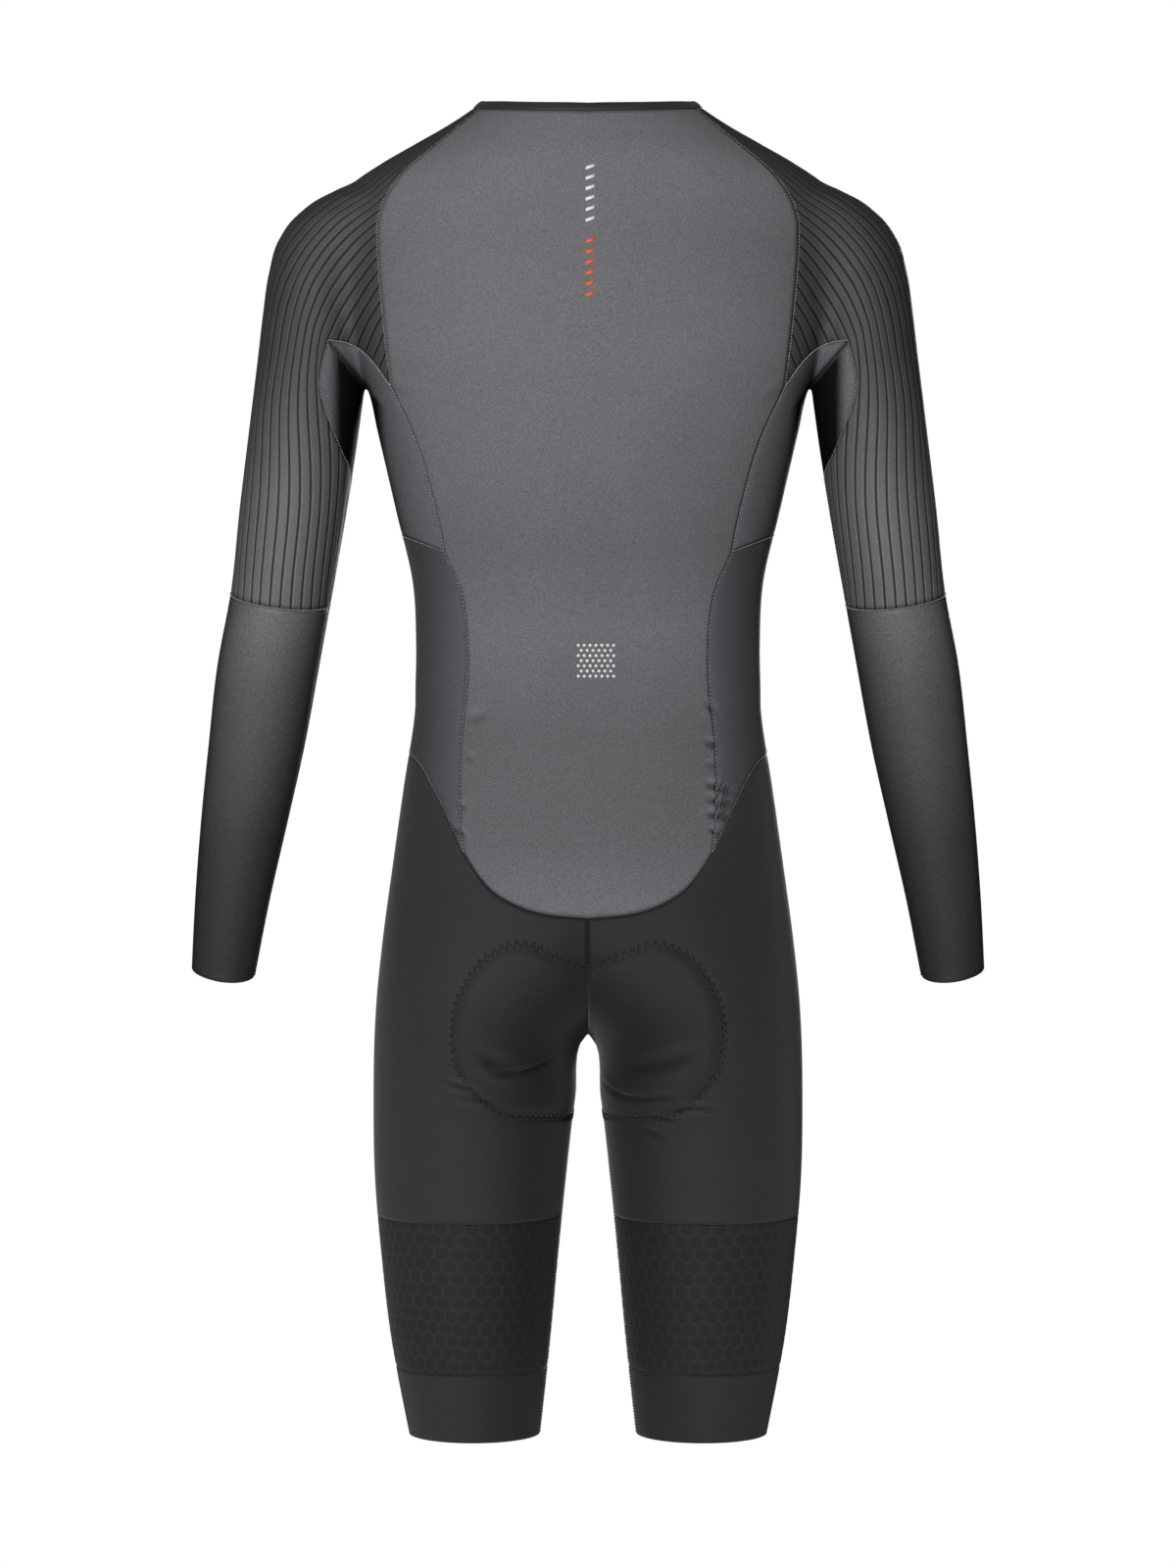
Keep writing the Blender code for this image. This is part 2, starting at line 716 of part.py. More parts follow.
def drawn_back(points, cells, amount):
    """Points with each free edge moved in over the cloth, by `amount`."""
    edges = {}
    for cell in cells:
        for a, b in zip(cell, cell[1:] + cell[:1]):
            edges[a, b] = cell
    inward = {}
    for (a, b), cell in edges.items():
        if (b, a) in edges or a == b:
            continue
        along = points[b] - points[a]
        length = np.linalg.norm(along)
        if length < 1e-7:
            continue
        along /= length
        into = points[list(cell)].mean(axis=0) - (points[a] + points[b]) / 2
        into -= along * (into @ along)
        into /= np.linalg.norm(into)
        inward.setdefault(a, []).append(into)
        inward.setdefault(b, []).append(into)
    moved = points.copy()
    for i, ways in inward.items():
        if len(ways) == 1:
            moved[i] += amount * ways[0]
        else:
            mitre = (ways[0] + ways[1]) / max(1 + ways[0] @ ways[1], LEAST_MITRE)
            moved[i] += amount * mitre
    return moved


def split_cells(points, cells):
    """Each four-sided cell as two triangles, on the diagonal that lies nearer the form."""
    faces = []
    for a, b, c, d in cells:
        middles = np.array([(points[a] + points[c]) / 2, (points[b] + points[d]) / 2])
        first, second = np.abs(figure(middles))
        halves = ((a, b, c), (a, c, d)) if first <= second else ((a, b, d), (b, c, d))
        faces += [half for half in halves if len(set(half)) == 3]
    return faces


def rim_faces(faces, count):
    """The walls that join the outer skin to the inner one round each free edge."""
    edges = {(a, b) for face in faces for a, b in zip(face, face[1:] + face[:1])}
    walls = []
    for a, b in edges:
        if (b, a) not in edges:
            walls += [(b, a, a + count), (b, a + count, b + count)]
    return walls


def sew(name, material, piece, sink=0.0, thickness=CLOTH, gap=SEAM_GAP, mirror=False):
    """A cloth wall from a piece: its outer skin `sink` inside the form, its inner one `thickness` deeper."""
    points = np.array(piece.points)
    normal = outward(points)
    faces = split_cells(points, piece.cells)
    flat = drawn_back(points, piece.cells, gap / 2)
    thickness = np.broadcast_to(np.asarray(thickness, float), len(points))[:, None]
    outer = flat - normal * sink
    inner = outer - normal * thickness
    count = len(points)
    vertices = np.vstack([outer, inner])
    all_faces = (
        faces
        + [tuple(i + count for i in reversed(face)) for face in faces]
        + rim_faces(faces, count)
    )
    centre = vertices[list(faces[0])].mean(axis=0)
    a, b, c = vertices[list(faces[0])]
    if (np.cross(b - a, c - a) @ outward(centre[None])[0]) < 0:
        all_faces = [face[::-1] for face in all_faces]
    if mirror:
        vertices = mirrored(vertices)
        all_faces = [face[::-1] for face in all_faces]
    return add_mesh(name, vertices, all_faces, material)


def material_of(name):
    if name in bpy.data.materials:
        return bpy.data.materials[name]
    colour, roughness = COLOURS[name]
    material = bpy.data.materials.new(name)
    material.use_nodes = True
    shader = material.node_tree.nodes["Principled BSDF"]
    shader.inputs["Base Color"].default_value = (*colour, 1)
    shader.inputs["Roughness"].default_value = roughness
    shader.inputs["Metallic"].default_value = 1.0 if name == "zip_metal" else 0.0
    material.diffuse_color = (*colour, 1)
    return material


def add_mesh(name, vertices, faces, material):
    mesh = bpy.data.meshes.new(name)
    mesh.from_pydata([tuple(v) for v in vertices], [], faces)
    mesh.validate()
    mesh.materials.append(material_of(material))
    mesh.shade_smooth()
    mesh.set_sharp_from_angle(angle=math.radians(50))
    obj = bpy.data.objects.new(name, mesh)
    bpy.context.scene.collection.objects.link(obj)
    return obj


def sew_pair(name, material, piece, **options):
    sew(name + "_left", material, piece, **options)
    sew(name + "_right", material, piece, mirror=True, **options)


# --- the pieces -------------------------------------------------------------------------------------


def back_panel(seams):
    left = join(seams["raglan_back"], seams["side_back"], seams["waist_back"])
    top = join(mirrored(seams["neck_back"])[::-1], seams["neck_back"])
    bottom = join(mirrored(seams["tail"]), seams["tail"][::-1])
    grid = panel(TRUNK, mirrored(left), left, top, bottom, (140, 40, 90, 90))
    sew("back_panel", "back_grey", Piece().add(grid))


def front_panels(seams):
    left = join(seams["raglan_front"], seams["side_front"], seams["waist_front"])
    right = zip_edge(seams)
    grid = panel(TRUNK, left, right, seams["neck_front"], seams["belly"], (-50, -85, -60, -60))
    sew_pair("front", "side_grey", Piece().add(grid))


def lower_side_panels(seams):
    grid = panel(
        TRUNK,
        seams["waist_back"],
        seams["waist_front"],
        seams["panel_cut"],
        seams["hip"],
        (40, -45, 0, 0),
    )
    sew_pair("side_lower", "lower_side_grey", Piece().add(grid))


def underarm_panels(seams):
    back = join(seams["side_back"][::-1], seams["armpit_back"], seams["inner_arm_back"])
    front = join(seams["side_front"][::-1], seams["armpit_front"], seams["inner_arm_front"])
    tip = np.repeat(back[-1:], PANEL_CUT_CELLS + 1, axis=0)
    grid = panel(
        UNDERARM,
        back,
        front,
        seams["panel_cut"],
        tip,
        (40, -40, 0, 0),
        top_rows=FLANK_ROWS,
        bottom_rows=TIP_ROWS,
    )
    sew_pair("underarm", "side_grey", Piece().add(grid))


def sleeve_seams(seams):
    """The elbow seam, and the seam up the inside of the arm from it to the underarm panel."""
    tip = seams["inner_arm_back"][-1]
    tip_row = SLEEVE.read(tip[None], INNER_ARM_ROWS)[1][0]
    rows = np.linspace(tip_row, ELBOW_ROW, LOW_SLEEVE_CELLS + 1)
    inside = SLEEVE.place(np.full_like(rows, 180.0), rows)
    inside[0] = tip
    turn = np.linspace(180, -180, ARM_ROUND_CELLS + 1)
    elbow = SLEEVE.place(turn, np.full_like(turn, ELBOW_ROW))
    elbow[-1] = elbow[0] = inside[-1]
    return inside, elbow


def open_seam(grid):
    """A tube's first and last columns drawn apart, so that it is closed by a seam and not one ring."""
    grid = grid.copy()
    for column, beside in ((0, 1), (-1, -2)):
        way = grid[:, beside] - grid[:, column]
        way /= np.linalg.norm(way, axis=-1, keepdims=True)
        grid[:, column] += way * RING_CUT
    return grid


def upper_sleeves(seams):
    """The ribbed sleeve: over the shoulder from the neck, then round the arm down to the elbow."""
    turn = np.linspace(0, 1, ARM_ROUND_CELLS + 1)
    ends = [seams["armpit_back"][-1], seams["armpit_front"][-1]]
    (back_angle, front_angle), end_rows = SLEEVE.read(np.array(ends), ARMPIT_ROWS)
    middle = end_rows.mean()
    rows = middle + (end_rows[0] - middle) * (1 - 2 * turn)
    across = SLEEVE.place(back_angle + (front_angle - back_angle) * turn, rows)
    across[0], across[-1] = ends
    bottom = join(seams["armpit_back"], across, seams["armpit_front"][::-1])
    shoulder = panel(
        SLEEVE,
        seams["raglan_back"],
        seams["raglan_front"],
        seams["neck_shoulder"],
        bottom,
        (110, -110, 0, 0),
        SHOULDER_ROWS,
    )
    inside, elbow = sleeve_seams(seams)
    left = join(seams["inner_arm_back"], inside)
    right = join(seams["inner_arm_front"], inside)
    tube = panel(SLEEVE, left, right, across, elbow, (150, -150, 0, 0), UPPER_ARM_ROWS)
    tube[1:] = open_seam(tube[1:])
    sew_pair("sleeve_upper", "ribbed_grey", Piece().add(shoulder).add(tube))


def lower_sleeves(seams):
    _, elbow = sleeve_seams(seams)
    angle = np.linspace(180, -180, ARM_ROUND_CELLS + 1)
    rows = np.linspace(ELBOW_ROW, CUFF_ROW, FOREARM_CELLS + 1)
    angle, rows = np.meshgrid(angle, rows)
    tube = SLEEVE.place(angle, rows)
    tube[0] = elbow
    sew_pair("sleeve_lower", "forearm_black", Piece().add(open_seam(tube)))


def collar(seams):
    parts = ("back", "shoulder", "front")
    seam_line = join(*[seams["neck_" + part] for part in parts])
    edge_line = join(*[seams["edge_" + part] for part in parts])
    seam_line, edge_line = [
        join(mirrored(line)[::-1], line) for line in (seam_line, edge_line)
    ]
    sew("collar", "collar_black", Piece().add(np.stack([edge_line, seam_line])))


def leg_edges(seams):
    """The shorts' back and front edges: down the middle seam, then down the inside of the leg."""
    line = crotch_line()
    crotch = line[line[:, 2].argmin()]
    share = np.linspace(0, 1, LEG_CELLS + 1) ** CROTCH_CROWD
    rows = -crotch[2] + (BAND_TOP_DOWN + crotch[2]) * share
    inside = LEG.place(np.full_like(rows, 180.0), rows)
    inside[0] = crotch
    back = middle_seam(line, -seams["tail"][-1][2], True, SEAT_CELLS)
    front = middle_seam(line, WAIST_FRONT_DOWN, False, SEAT_CELLS)
    return join(back, inside), join(front, inside)


def shorts(seams):
    back, front = leg_edges(seams)
    back[0] = seams["tail"][-1]
    waist = seams["belly"].copy()
    waist[-1] = front[0]
    top = join(seams["tail"][::-1], seams["hip"], waist)
    angle = np.linspace(180, -180, LEG_ROUND_CELLS + 1)
    bottom = LEG.place(angle, np.full_like(angle, BAND_TOP_DOWN))
    bottom[0], bottom[-1] = back[-1], front[-1]
    grid = panel(LEG, back, front, top, bottom, (135, -135, 0, 0))
    grid[SEAT_CELLS:] = open_seam(grid[SEAT_CELLS:])
    sew_pair("short", "shorts_black", Piece().add(grid))


def leg_bands():
    for name, colour, top, low, cells in (
        ("grip_band", "band_black", BAND_TOP_DOWN, HEM_TOP_DOWN, BAND_CELLS),
        ("hem_band", "hem_black", HEM_TOP_DOWN, HEM_DOWN, HEM_CELLS),
    ):
        turn = np.linspace(180, -180, LEG_ROUND_CELLS + 1)
        angle, rows = np.meshgrid(turn, np.linspace(top, low, cells + 1))
        sew_pair(name, colour, Piece().add(open_seam(LEG.place(angle, rows))))


def seat_pad():
    """The padded insert: one piece under both legs' cloth, joined along the middle seam."""
    line = crotch_line()
    middle = evenly(line[-line[:, 2] > PAD_TOP_DOWN], PAD_LONG_CELLS)
    outline = np.array(PAD_OUTLINE[1:], float) * [1, MM]
    last = len(outline) - 1
    places = smooth(np.arange(last + 1), outline)(np.linspace(0, last, 300))
    edge = evenly(LEG.place(places[:, 0], places[:, 1]), PAD_LONG_CELLS)
    share = np.linspace(0, 1, PAD_WIDE_CELLS + 1)[:, None, None]
    middle_places = read_edge(LEG, middle, None, 180)
    edge_places = read_edge(LEG, edge, None, 180)
    grid = middle_places + (edge_places - middle_places) * share
    points = LEG.place(grid[..., 0], grid[..., 1])
    points[0] = middle
    pad = Piece().add(points).add(mirrored(points[::-1]))
    rim = np.vstack([points[-1], points[:, 0], points[:, -1]])
    rim_numbers = [pad.number(point) for point in np.vstack([rim, mirrored(rim)])]
    thickness = np.full(len(pad.points), PAD_THICKNESS)
    thickness[rim_numbers] = PAD_EDGE
    sew("chamois", "pad_grey", pad, sink=PAD_SINK, thickness=thickness)


def zip_chain(seams):
    """The closed zip as one strip, from the collar's edge to the waist."""
    line = join(seams["edge_front"][-1:], zip_edge(seams))
    sew("zip", "zip_black", Piece().add(np.stack([mirrored(line), line], axis=1)))


def prism(outline, low, high):
    """Points and faces of a solid with this outline between two heights."""
    count = len(outline)
    points = [(x, y, low) for x, y in outline] + [(x, y, high) for x, y in outline]
    sides = [(i, (i + 1) % count, (i + 1) % count + count, i + count) for i in range(count)]
    caps = [tuple(range(count))[::-1], tuple(range(count, 2 * count))]
    return points, sides + caps


def ring_prism(outer, inner, low, high):
    """The same with a hole through it. Both outlines have as many points."""
    count = len(outer)
    points = [(x, y, z) for z in (low, high) for line in (outer, inner) for x, y in line]
    faces = []
    for i in range(count):
        j = (i + 1) % count
        faces.append((i, j, j + 2 * count, i + 2 * count))
        faces.append((j + count, i + count, i + 3 * count, j + 3 * count))
        faces.append((j, i, i + count, j + count))
        faces.append((i + 2 * count, j + 2 * count, j + 3 * count, i + 3 * count))
    return points, faces


def zip_frame():
    """The slider's place: across, down along the zip and out from it, on the zip's outer face."""
    at = project(np.zeros(1), np.array([SLIDER_DOWN]), to_back=False)
    out = outward(at)[0]
    across = np.array([1.0, 0, 0])
    down = np.array([0, -out[2], out[1]])
    return at[0] + out * SLIDER_CLEAR, across, down, out


def placed(points, frame, swap_sides=False):
    """Points given as (across, down, out) in millimetres, or as (down, out, across)."""
    origin, across, down, out = frame
    axes = (down, out, across) if swap_sides else (across, down, out)
    return [origin + sum(p * MM * axis for p, axis in zip(point, axes)) for point in points]


def zip_slider():
    frame = zip_frame()
    base, base_faces = prism(SLIDER_PLAN, 0, SLIDER_HEIGHT)
    slider = add_mesh("zip_slider", placed(base, frame), [f[::-1] for f in base_faces], "zip_metal")
    half = BRIDGE_WIDTH / 2
    arch, arch_faces = prism(BRIDGE_SIDE, -half, half)
    bridge = add_mesh("bridge", placed(arch, frame, True), arch_faces, "zip_metal")
    bridge.hide_render, bridge.display_type = True, "WIRE"
    for obj in (slider, bridge):
        make_outward(obj)
    union_step = slider.modifiers.new("bridge", "BOOLEAN")
    union_step.operation, union_step.object = "UNION", bridge


def zip_pull():
    """The pull tab, lying down along the zip. Its origin is on the bar it swings on."""
    origin, across, down, out = zip_frame()
    hinge = origin + out * HINGE_OUT * MM
    half = PULL_THICKNESS / 2
    points, faces = ring_prism(PULL_OUTLINE, PULL_HOLE, -half, half)
    local = placed(points, (np.zeros(3), across, down, out))
    pull = add_mesh("zip_pull", local, faces, "zip_metal")
    make_outward(pull)
    pull.location = hinge


def make_outward(obj):
    work = bmesh.new()
    work.from_mesh(obj.data)
    bmesh.ops.recalc_face_normals(work, faces=work.faces)
    work.to_mesh(obj.data)
    work.free()


def main():
    for obj in list(bpy.data.objects):
        bpy.data.objects.remove(obj)
    seams = all_seams()
    back_panel(seams)
    front_panels(seams)
    lower_side_panels(seams)
    underarm_panels(seams)
    upper_sleeves(seams)
    lower_sleeves(seams)
    collar(seams)
    shorts(seams)
    leg_bands()
    seat_pad()
    zip_chain(seams)
    zip_slider()
    zip_pull()


main()
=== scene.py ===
# %% [markdown]
# # A time trial skinsuit
# The suit is shown filled out, as if somebody wore it, and seen from behind. Every panel is a piece of
# thin cloth on one smooth hollow figure. The imported model gives the frame that everything sits in.
# The bounds of the finished suit are measured at the end.

# %% Load the imported model
import math

import bmesh
import bpy
import numpy as np
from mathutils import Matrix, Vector, kdtree
from mathutils.geometry import delaunay_2d_cdt


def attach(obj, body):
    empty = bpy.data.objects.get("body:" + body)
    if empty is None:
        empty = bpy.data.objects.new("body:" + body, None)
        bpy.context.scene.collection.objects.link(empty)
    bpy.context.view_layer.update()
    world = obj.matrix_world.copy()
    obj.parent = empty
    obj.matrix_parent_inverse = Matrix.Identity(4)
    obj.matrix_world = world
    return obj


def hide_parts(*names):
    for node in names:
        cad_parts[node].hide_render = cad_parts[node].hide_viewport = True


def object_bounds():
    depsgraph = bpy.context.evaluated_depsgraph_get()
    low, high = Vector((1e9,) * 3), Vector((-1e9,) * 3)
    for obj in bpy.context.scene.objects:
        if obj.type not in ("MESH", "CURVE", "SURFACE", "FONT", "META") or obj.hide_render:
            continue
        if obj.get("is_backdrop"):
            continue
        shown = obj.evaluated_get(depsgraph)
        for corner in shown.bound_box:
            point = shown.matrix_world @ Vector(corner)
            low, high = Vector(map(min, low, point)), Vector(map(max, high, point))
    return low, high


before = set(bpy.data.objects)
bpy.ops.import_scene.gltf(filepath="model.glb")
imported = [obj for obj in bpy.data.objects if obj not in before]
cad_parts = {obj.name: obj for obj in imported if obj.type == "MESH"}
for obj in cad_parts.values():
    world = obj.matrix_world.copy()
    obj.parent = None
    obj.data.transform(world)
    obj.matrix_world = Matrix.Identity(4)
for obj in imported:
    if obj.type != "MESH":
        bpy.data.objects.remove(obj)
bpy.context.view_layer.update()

MM = 0.001

# %% [markdown]
# ## The camera, the room and the light
# The photograph looks level at the middle of the suit, from behind it. 3.2 m away, a 96 mm lens shows a
# frame 1.2 m high. The light is a large soft box behind the camera, so a round arm is bright in its
# middle and falls off to dark edges. A second box and two weak ones light the other sides.

# %% Camera
CAMERA_BACK, CAMERA_DOWN = 3.2, 0.516  # metres from the suit, and below its collar
SENSOR_MM, LENS_MM = 36, 96
camera = bpy.data.objects.new("camera", bpy.data.cameras.new("camera"))
camera.data.sensor_width, camera.data.lens = SENSOR_MM, LENS_MM
camera.location = (0, CAMERA_BACK, -CAMERA_DOWN)
camera.rotation_euler = (math.radians(90), 0, math.radians(180))
bpy.context.scene.collection.objects.link(camera)
bpy.context.scene.camera = camera
bpy.context.scene.view_settings.view_transform = "Standard"
print("the frame is", round(CAMERA_BACK * SENSOR_MM / LENS_MM, 3), "m high at the suit")

# %% Floor, surroundings and lights
FLOOR_DOWN, FLOOR_RADIUS = 1.3, 0.9
FLOOR_GREY, FLOOR_ROUGHNESS = 0.9, 0.8
bpy.ops.mesh.primitive_circle_add(
    vertices=128, radius=FLOOR_RADIUS, fill_type="NGON", location=(0, 0, -FLOOR_DOWN)
)
floor = bpy.context.object
floor.name = "floor"
floor_paint = bpy.data.materials.new("floor_paint")
floor_paint.use_nodes = True
paint_inputs = floor_paint.node_tree.nodes["Principled BSDF"].inputs
paint_inputs["Base Color"].default_value = (FLOOR_GREY, FLOOR_GREY, FLOOR_GREY, 1)
paint_inputs["Roughness"].default_value = FLOOR_ROUGHNESS
floor.data.materials.append(floor_paint)
floor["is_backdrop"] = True

AMBIENT = 0.05  # how bright the surroundings are to the suit, while the camera sees them white
world = bpy.data.worlds.new("studio")
bpy.context.scene.world = world
world.use_nodes = True
sky = world.node_tree
seen = sky.nodes.new("ShaderNodeBackground")
seen.inputs["Strength"].default_value = 1.0
lit = sky.nodes["Background"]
for background in (seen, lit):
    background.inputs["Color"].default_value = (1, 1, 1, 1)
lit.inputs["Strength"].default_value = AMBIENT
ray = sky.nodes.new("ShaderNodeLightPath")
choose = sky.nodes.new("ShaderNodeMixShader")
sky.links.new(ray.outputs["Is Camera Ray"], choose.inputs["Fac"])
sky.links.new(lit.outputs["Background"], choose.inputs[1])
sky.links.new(seen.outputs["Background"], choose.inputs[2])
sky.links.new(choose.outputs["Shader"], sky.nodes["World Output"].inputs["Surface"])

SOFT_BOXES = (  # name, place, size in metres, watts
    ("box_behind", (0.75, 3.3, 0.20), 1.0, 114),
    ("box_front", (-0.75, -3.3, 0.20), 1.0, 80),
    ("strip_left", (2.6, 0.0, -0.4), 1.0, 4),
    ("strip_right", (-2.6, 0.0, -0.4), 1.0, 4),
)
for name, place, size, watts in SOFT_BOXES:
    lamp = bpy.data.lights.new(name, "AREA")
    lamp.energy, lamp.size = watts, size
    box = bpy.data.objects.new(name, lamp)
    box.location = place
    aim = Vector((0, 0, -CAMERA_DOWN)) - Vector(place)
    box.rotation_euler = aim.to_track_quat("-Z", "Y").to_euler()
    bpy.context.scene.collection.objects.link(box)
print("lights", [name for name, *_ in SOFT_BOXES])

# %% [markdown]
# ## The filled-out figure
# A skinsuit has almost no shape of its own: it takes the wearer's. So the form comes first, as a rule
# that says how far any point is outside it. Two short tables hold level sections of the trunk with the
# legs, and of the arm, in millimetres. They could be lofted one by one, but a rule joins arm and trunk
# softly, and every panel can then be laid on the same surface.

# %% Sections of the trunk, legs and arm
BODY = (
    ("down", "lobe", "half_width", "back", "front", "power"),
    (-14, 0, 74, 52, 40, 2.0),
    (0, 0, 88, 62, 48, 2.0),
    (13, 0, 107, 71, 54, 2.0),
    (28, 0, 133, 80, 60, 2.0),
    (43, 0, 159, 88, 66, 2.0),
    (60, 0, 183, 94, 73, 2.0),
    (80, 0, 194, 99, 80, 2.0),
    (110, 0, 193, 103, 90, 2.1),
    (150, 0, 189, 106, 100, 2.2),
    (180, 0, 183, 106, 106, 2.28),
    (198, 0, 176, 106, 109, 2.32),
    (216, 0, 168, 105, 111, 2.34),
    (246, 0, 161, 103, 113, 2.3),
    (306, 0, 147, 97, 113, 2.28),
    (366, 0, 133.5, 87, 108, 2.3),
    (410, 0, 131.5, 80, 103, 2.35),
    (456, 0, 132, 77, 100, 2.4),
    (516, 6, 140.6, 83, 101, 2.4),
    (576, 20, 149, 95, 101, 2.4),
    (636, 46, 157, 106, 98, 2.4),
    (680, 69, 161.5, 107, 94, 2.3),
    (705, 82, 163, 103, 91, 2.2),
    (756, 87, 164, 93, 86, 2.1),
    (816, 90, 163, 84, 82, 2.0),
    (876, 90.5, 158, 77, 77, 2.0),
    (936, 89.8, 151, 69, 71, 2.0),
    (996, 87.5, 140, 58, 64, 2.0),
    (1030, 86, 133, 52, 59, 2.0),
)
ARM = (
    ("down", "out", "back", "half_width", "half_depth"),
    (62, 176, 2, 4, 4),
    (70, 183, 2, 20, 28),
    (82, 190, 2, 32, 41),
    (100, 197, 2, 39, 47),
    (126, 203, 1, 41, 50),
    (156, 207, 0, 41.5, 51),
    (186, 210, 0, 42, 50),
    (246, 217.5, -2, 42, 47),
    (306, 226, -5, 41, 45),
    (366, 234.8, -11, 39, 42),
    (425, 246.7, -27, 39.3, 41),
    (486, 257.2, -46, 37.3, 38),
    (547, 268.5, -64, 33.7, 33.5),
    (608, 279.2, -82, 29.2, 29),
    (668, 288, -100, 25, 26),
)
ARM_BLEND = (("down", "soft"), (50, 40), (120, 26), (170, 14), (200, 6), (250, 5))
NECK = (
    ("angle", "seam", "edge"),
    (-90, 76, 67),
    (-62, 60, 51.5),
    (-34, 26, 18.5),
    (-12, 5, -1.5),
    (4, 0.5, -5),
    (21, 4.5, -1.8),
    (50, 9.5, 2.8),
    (90, 12.2, 5.2),
)
print(len(BODY) - 1, "levels of the trunk and legs,", len(ARM) - 1, "of the arm")


# %% Smooth curves through tables
def smooth(knots, values):
    """The smooth curve through these values at these knots, as a function."""
    knots, values = np.asarray(knots, float), np.asarray(values, float)
    slopes = np.gradient(values, knots, axis=0)

    def at(place):
        place = np.clip(place, knots[0], knots[-1])
        i = np.clip(np.searchsorted(knots, place) - 1, 0, len(knots) - 2)
        step = knots[i + 1] - knots[i]
        share = (place - knots[i]) / step
        if values.ndim > 1:
            share, step = share[..., None], step[..., None]
        rest = 1 - share
        return (
            (1 + 2 * share) * rest**2 * values[i]
            + share * rest**2 * step * slopes[i]
            + share**2 * (3 - 2 * share) * values[i + 1]
            - share**2 * rest * step * slopes[i + 1]
        )

    return at


def curve(places, count):
    """A smooth line of `count` points through a few places."""
    places = np.asarray(places, float)
    return smooth(np.arange(len(places)), places)(np.linspace(0, len(places) - 1, count))


def columns(table, plain=()):
    """Each named column as a smooth function of the first, in metres. `plain` ones keep their unit."""
    names, *rows = table
    data = np.array(rows, float)
    scale = {name: 1.0 if name in plain else MM for name in names}
    first = data[:, 0] * scale[names[0]]
    return {name: smooth(first, data[:, i] * scale[name]) for i, name in enumerate(names[1:], 1)}


body = columns(BODY, plain=("power",))
arm = columns(ARM)
arm_blend = columns(ARM_BLEND)["soft"]
neck = columns(NECK, plain=("angle",))
print("hips", round(2000 * float(body["half_width"](0.705))), "mm wide")


# %% How far a point is outside the form
SMALL = 1e-6  # keeps a division away from nought
ARM_TOP, ARM_LOW, PAST_ARM = 62 * MM, 680 * MM, 5  # the sleeve ends outside these, at this slope
HALVES_SOFT, HALVES_SOFTER = 0.1 * MM, 0.12  # how softly the two legs join, and more at wide lobes
NORMAL_STEP = 0.2 * MM


def ellipse(x, y, half_width, depth, power):
    reach = np.hypot(x, y)
    share = (np.abs(x / half_width) ** power + np.abs(y / depth) ** power) ** (1 / power)
    return reach - reach / np.maximum(share, SMALL)


def union(first, second, soft):
    near = np.maximum(soft - np.abs(first - second), 0) / soft
    return np.minimum(first, second) - near**2 * soft / 4


def figure(points):
    x, y, down = np.abs(points[..., 0]), points[..., 1], -points[..., 2]
    lobe = body["lobe"](down)
    half_width = body["half_width"](down) - lobe
    depth = np.where(y > 0, body["back"](down), body["front"](down))
    power = body["power"](down)
    near_half = ellipse(x - lobe, y, half_width, depth, power)
    far_half = ellipse(x + lobe, y, half_width, depth, power)
    trunk = union(near_half, far_half, HALVES_SOFT + HALVES_SOFTER * lobe)
    arm_x, arm_y = x - arm["out"](down), y - arm["back"](down)
    sleeve = ellipse(arm_x, arm_y, arm["half_width"](down), arm["half_depth"](down), 2.0)
    past_ends = np.maximum(down - ARM_LOW, 0) + np.maximum(ARM_TOP - down, 0)
    return union(trunk, sleeve + PAST_ARM * past_ends, arm_blend(down))


def outward(points):
    """The unit normals of the form."""
    steps = NORMAL_STEP * np.eye(3)
    slope = [figure(points + step) - figure(points - step) for step in steps]
    slope = np.stack(slope, axis=-1)
    return slope / np.linalg.norm(slope, axis=-1, keepdims=True)


# %% Laying points on the form
RAY_STEPS, RAY_SHARE = 45, 0.6
SETTLE_STEPS, SETTLE_SHARE = 6, 0.8


def reach_form(starts, directions):
    """Where rays from inside meet the form."""
    travelled = np.full(starts.shape[:-1], 1 * MM)
    for _ in range(RAY_STEPS):
        travelled = travelled - RAY_SHARE * figure(starts + travelled[..., None] * directions)
    return starts + travelled[..., None] * directions


def settle(points):
    """Moves points that are near the form on to it."""
    for _ in range(SETTLE_STEPS):
        points = points - figure(points)[..., None] * SETTLE_SHARE * outward(points)
    return points


def project(out, down, to_back):
    """The places on the trunk seen square on at these distances, from behind or in front."""
    starts = np.stack([out, np.zeros_like(out), -down], axis=-1)
    return reach_form(starts, np.broadcast_to([0, 1 if to_back else -1, 0], starts.shape))


waist_back = project(np.zeros(1), np.full(1, 410 * MM), True)[0]
print("the back at the waist is", round(waist_back[1] / MM, 1), "mm behind the middle")

# %% [markdown]
# ## Places on the form
# A panel needs coordinates on the form, as a map needs longitude and latitude. A chart gives them: an
# angle round a core line and a row along it. Trunk and legs have level rows. Over the shoulder the rows
# fan out round the sleeve, and under the arm a second fan turns from the flank to the inside of the arm.


# %% Charts
TRIALS = 600  # rows tried for each point that is read


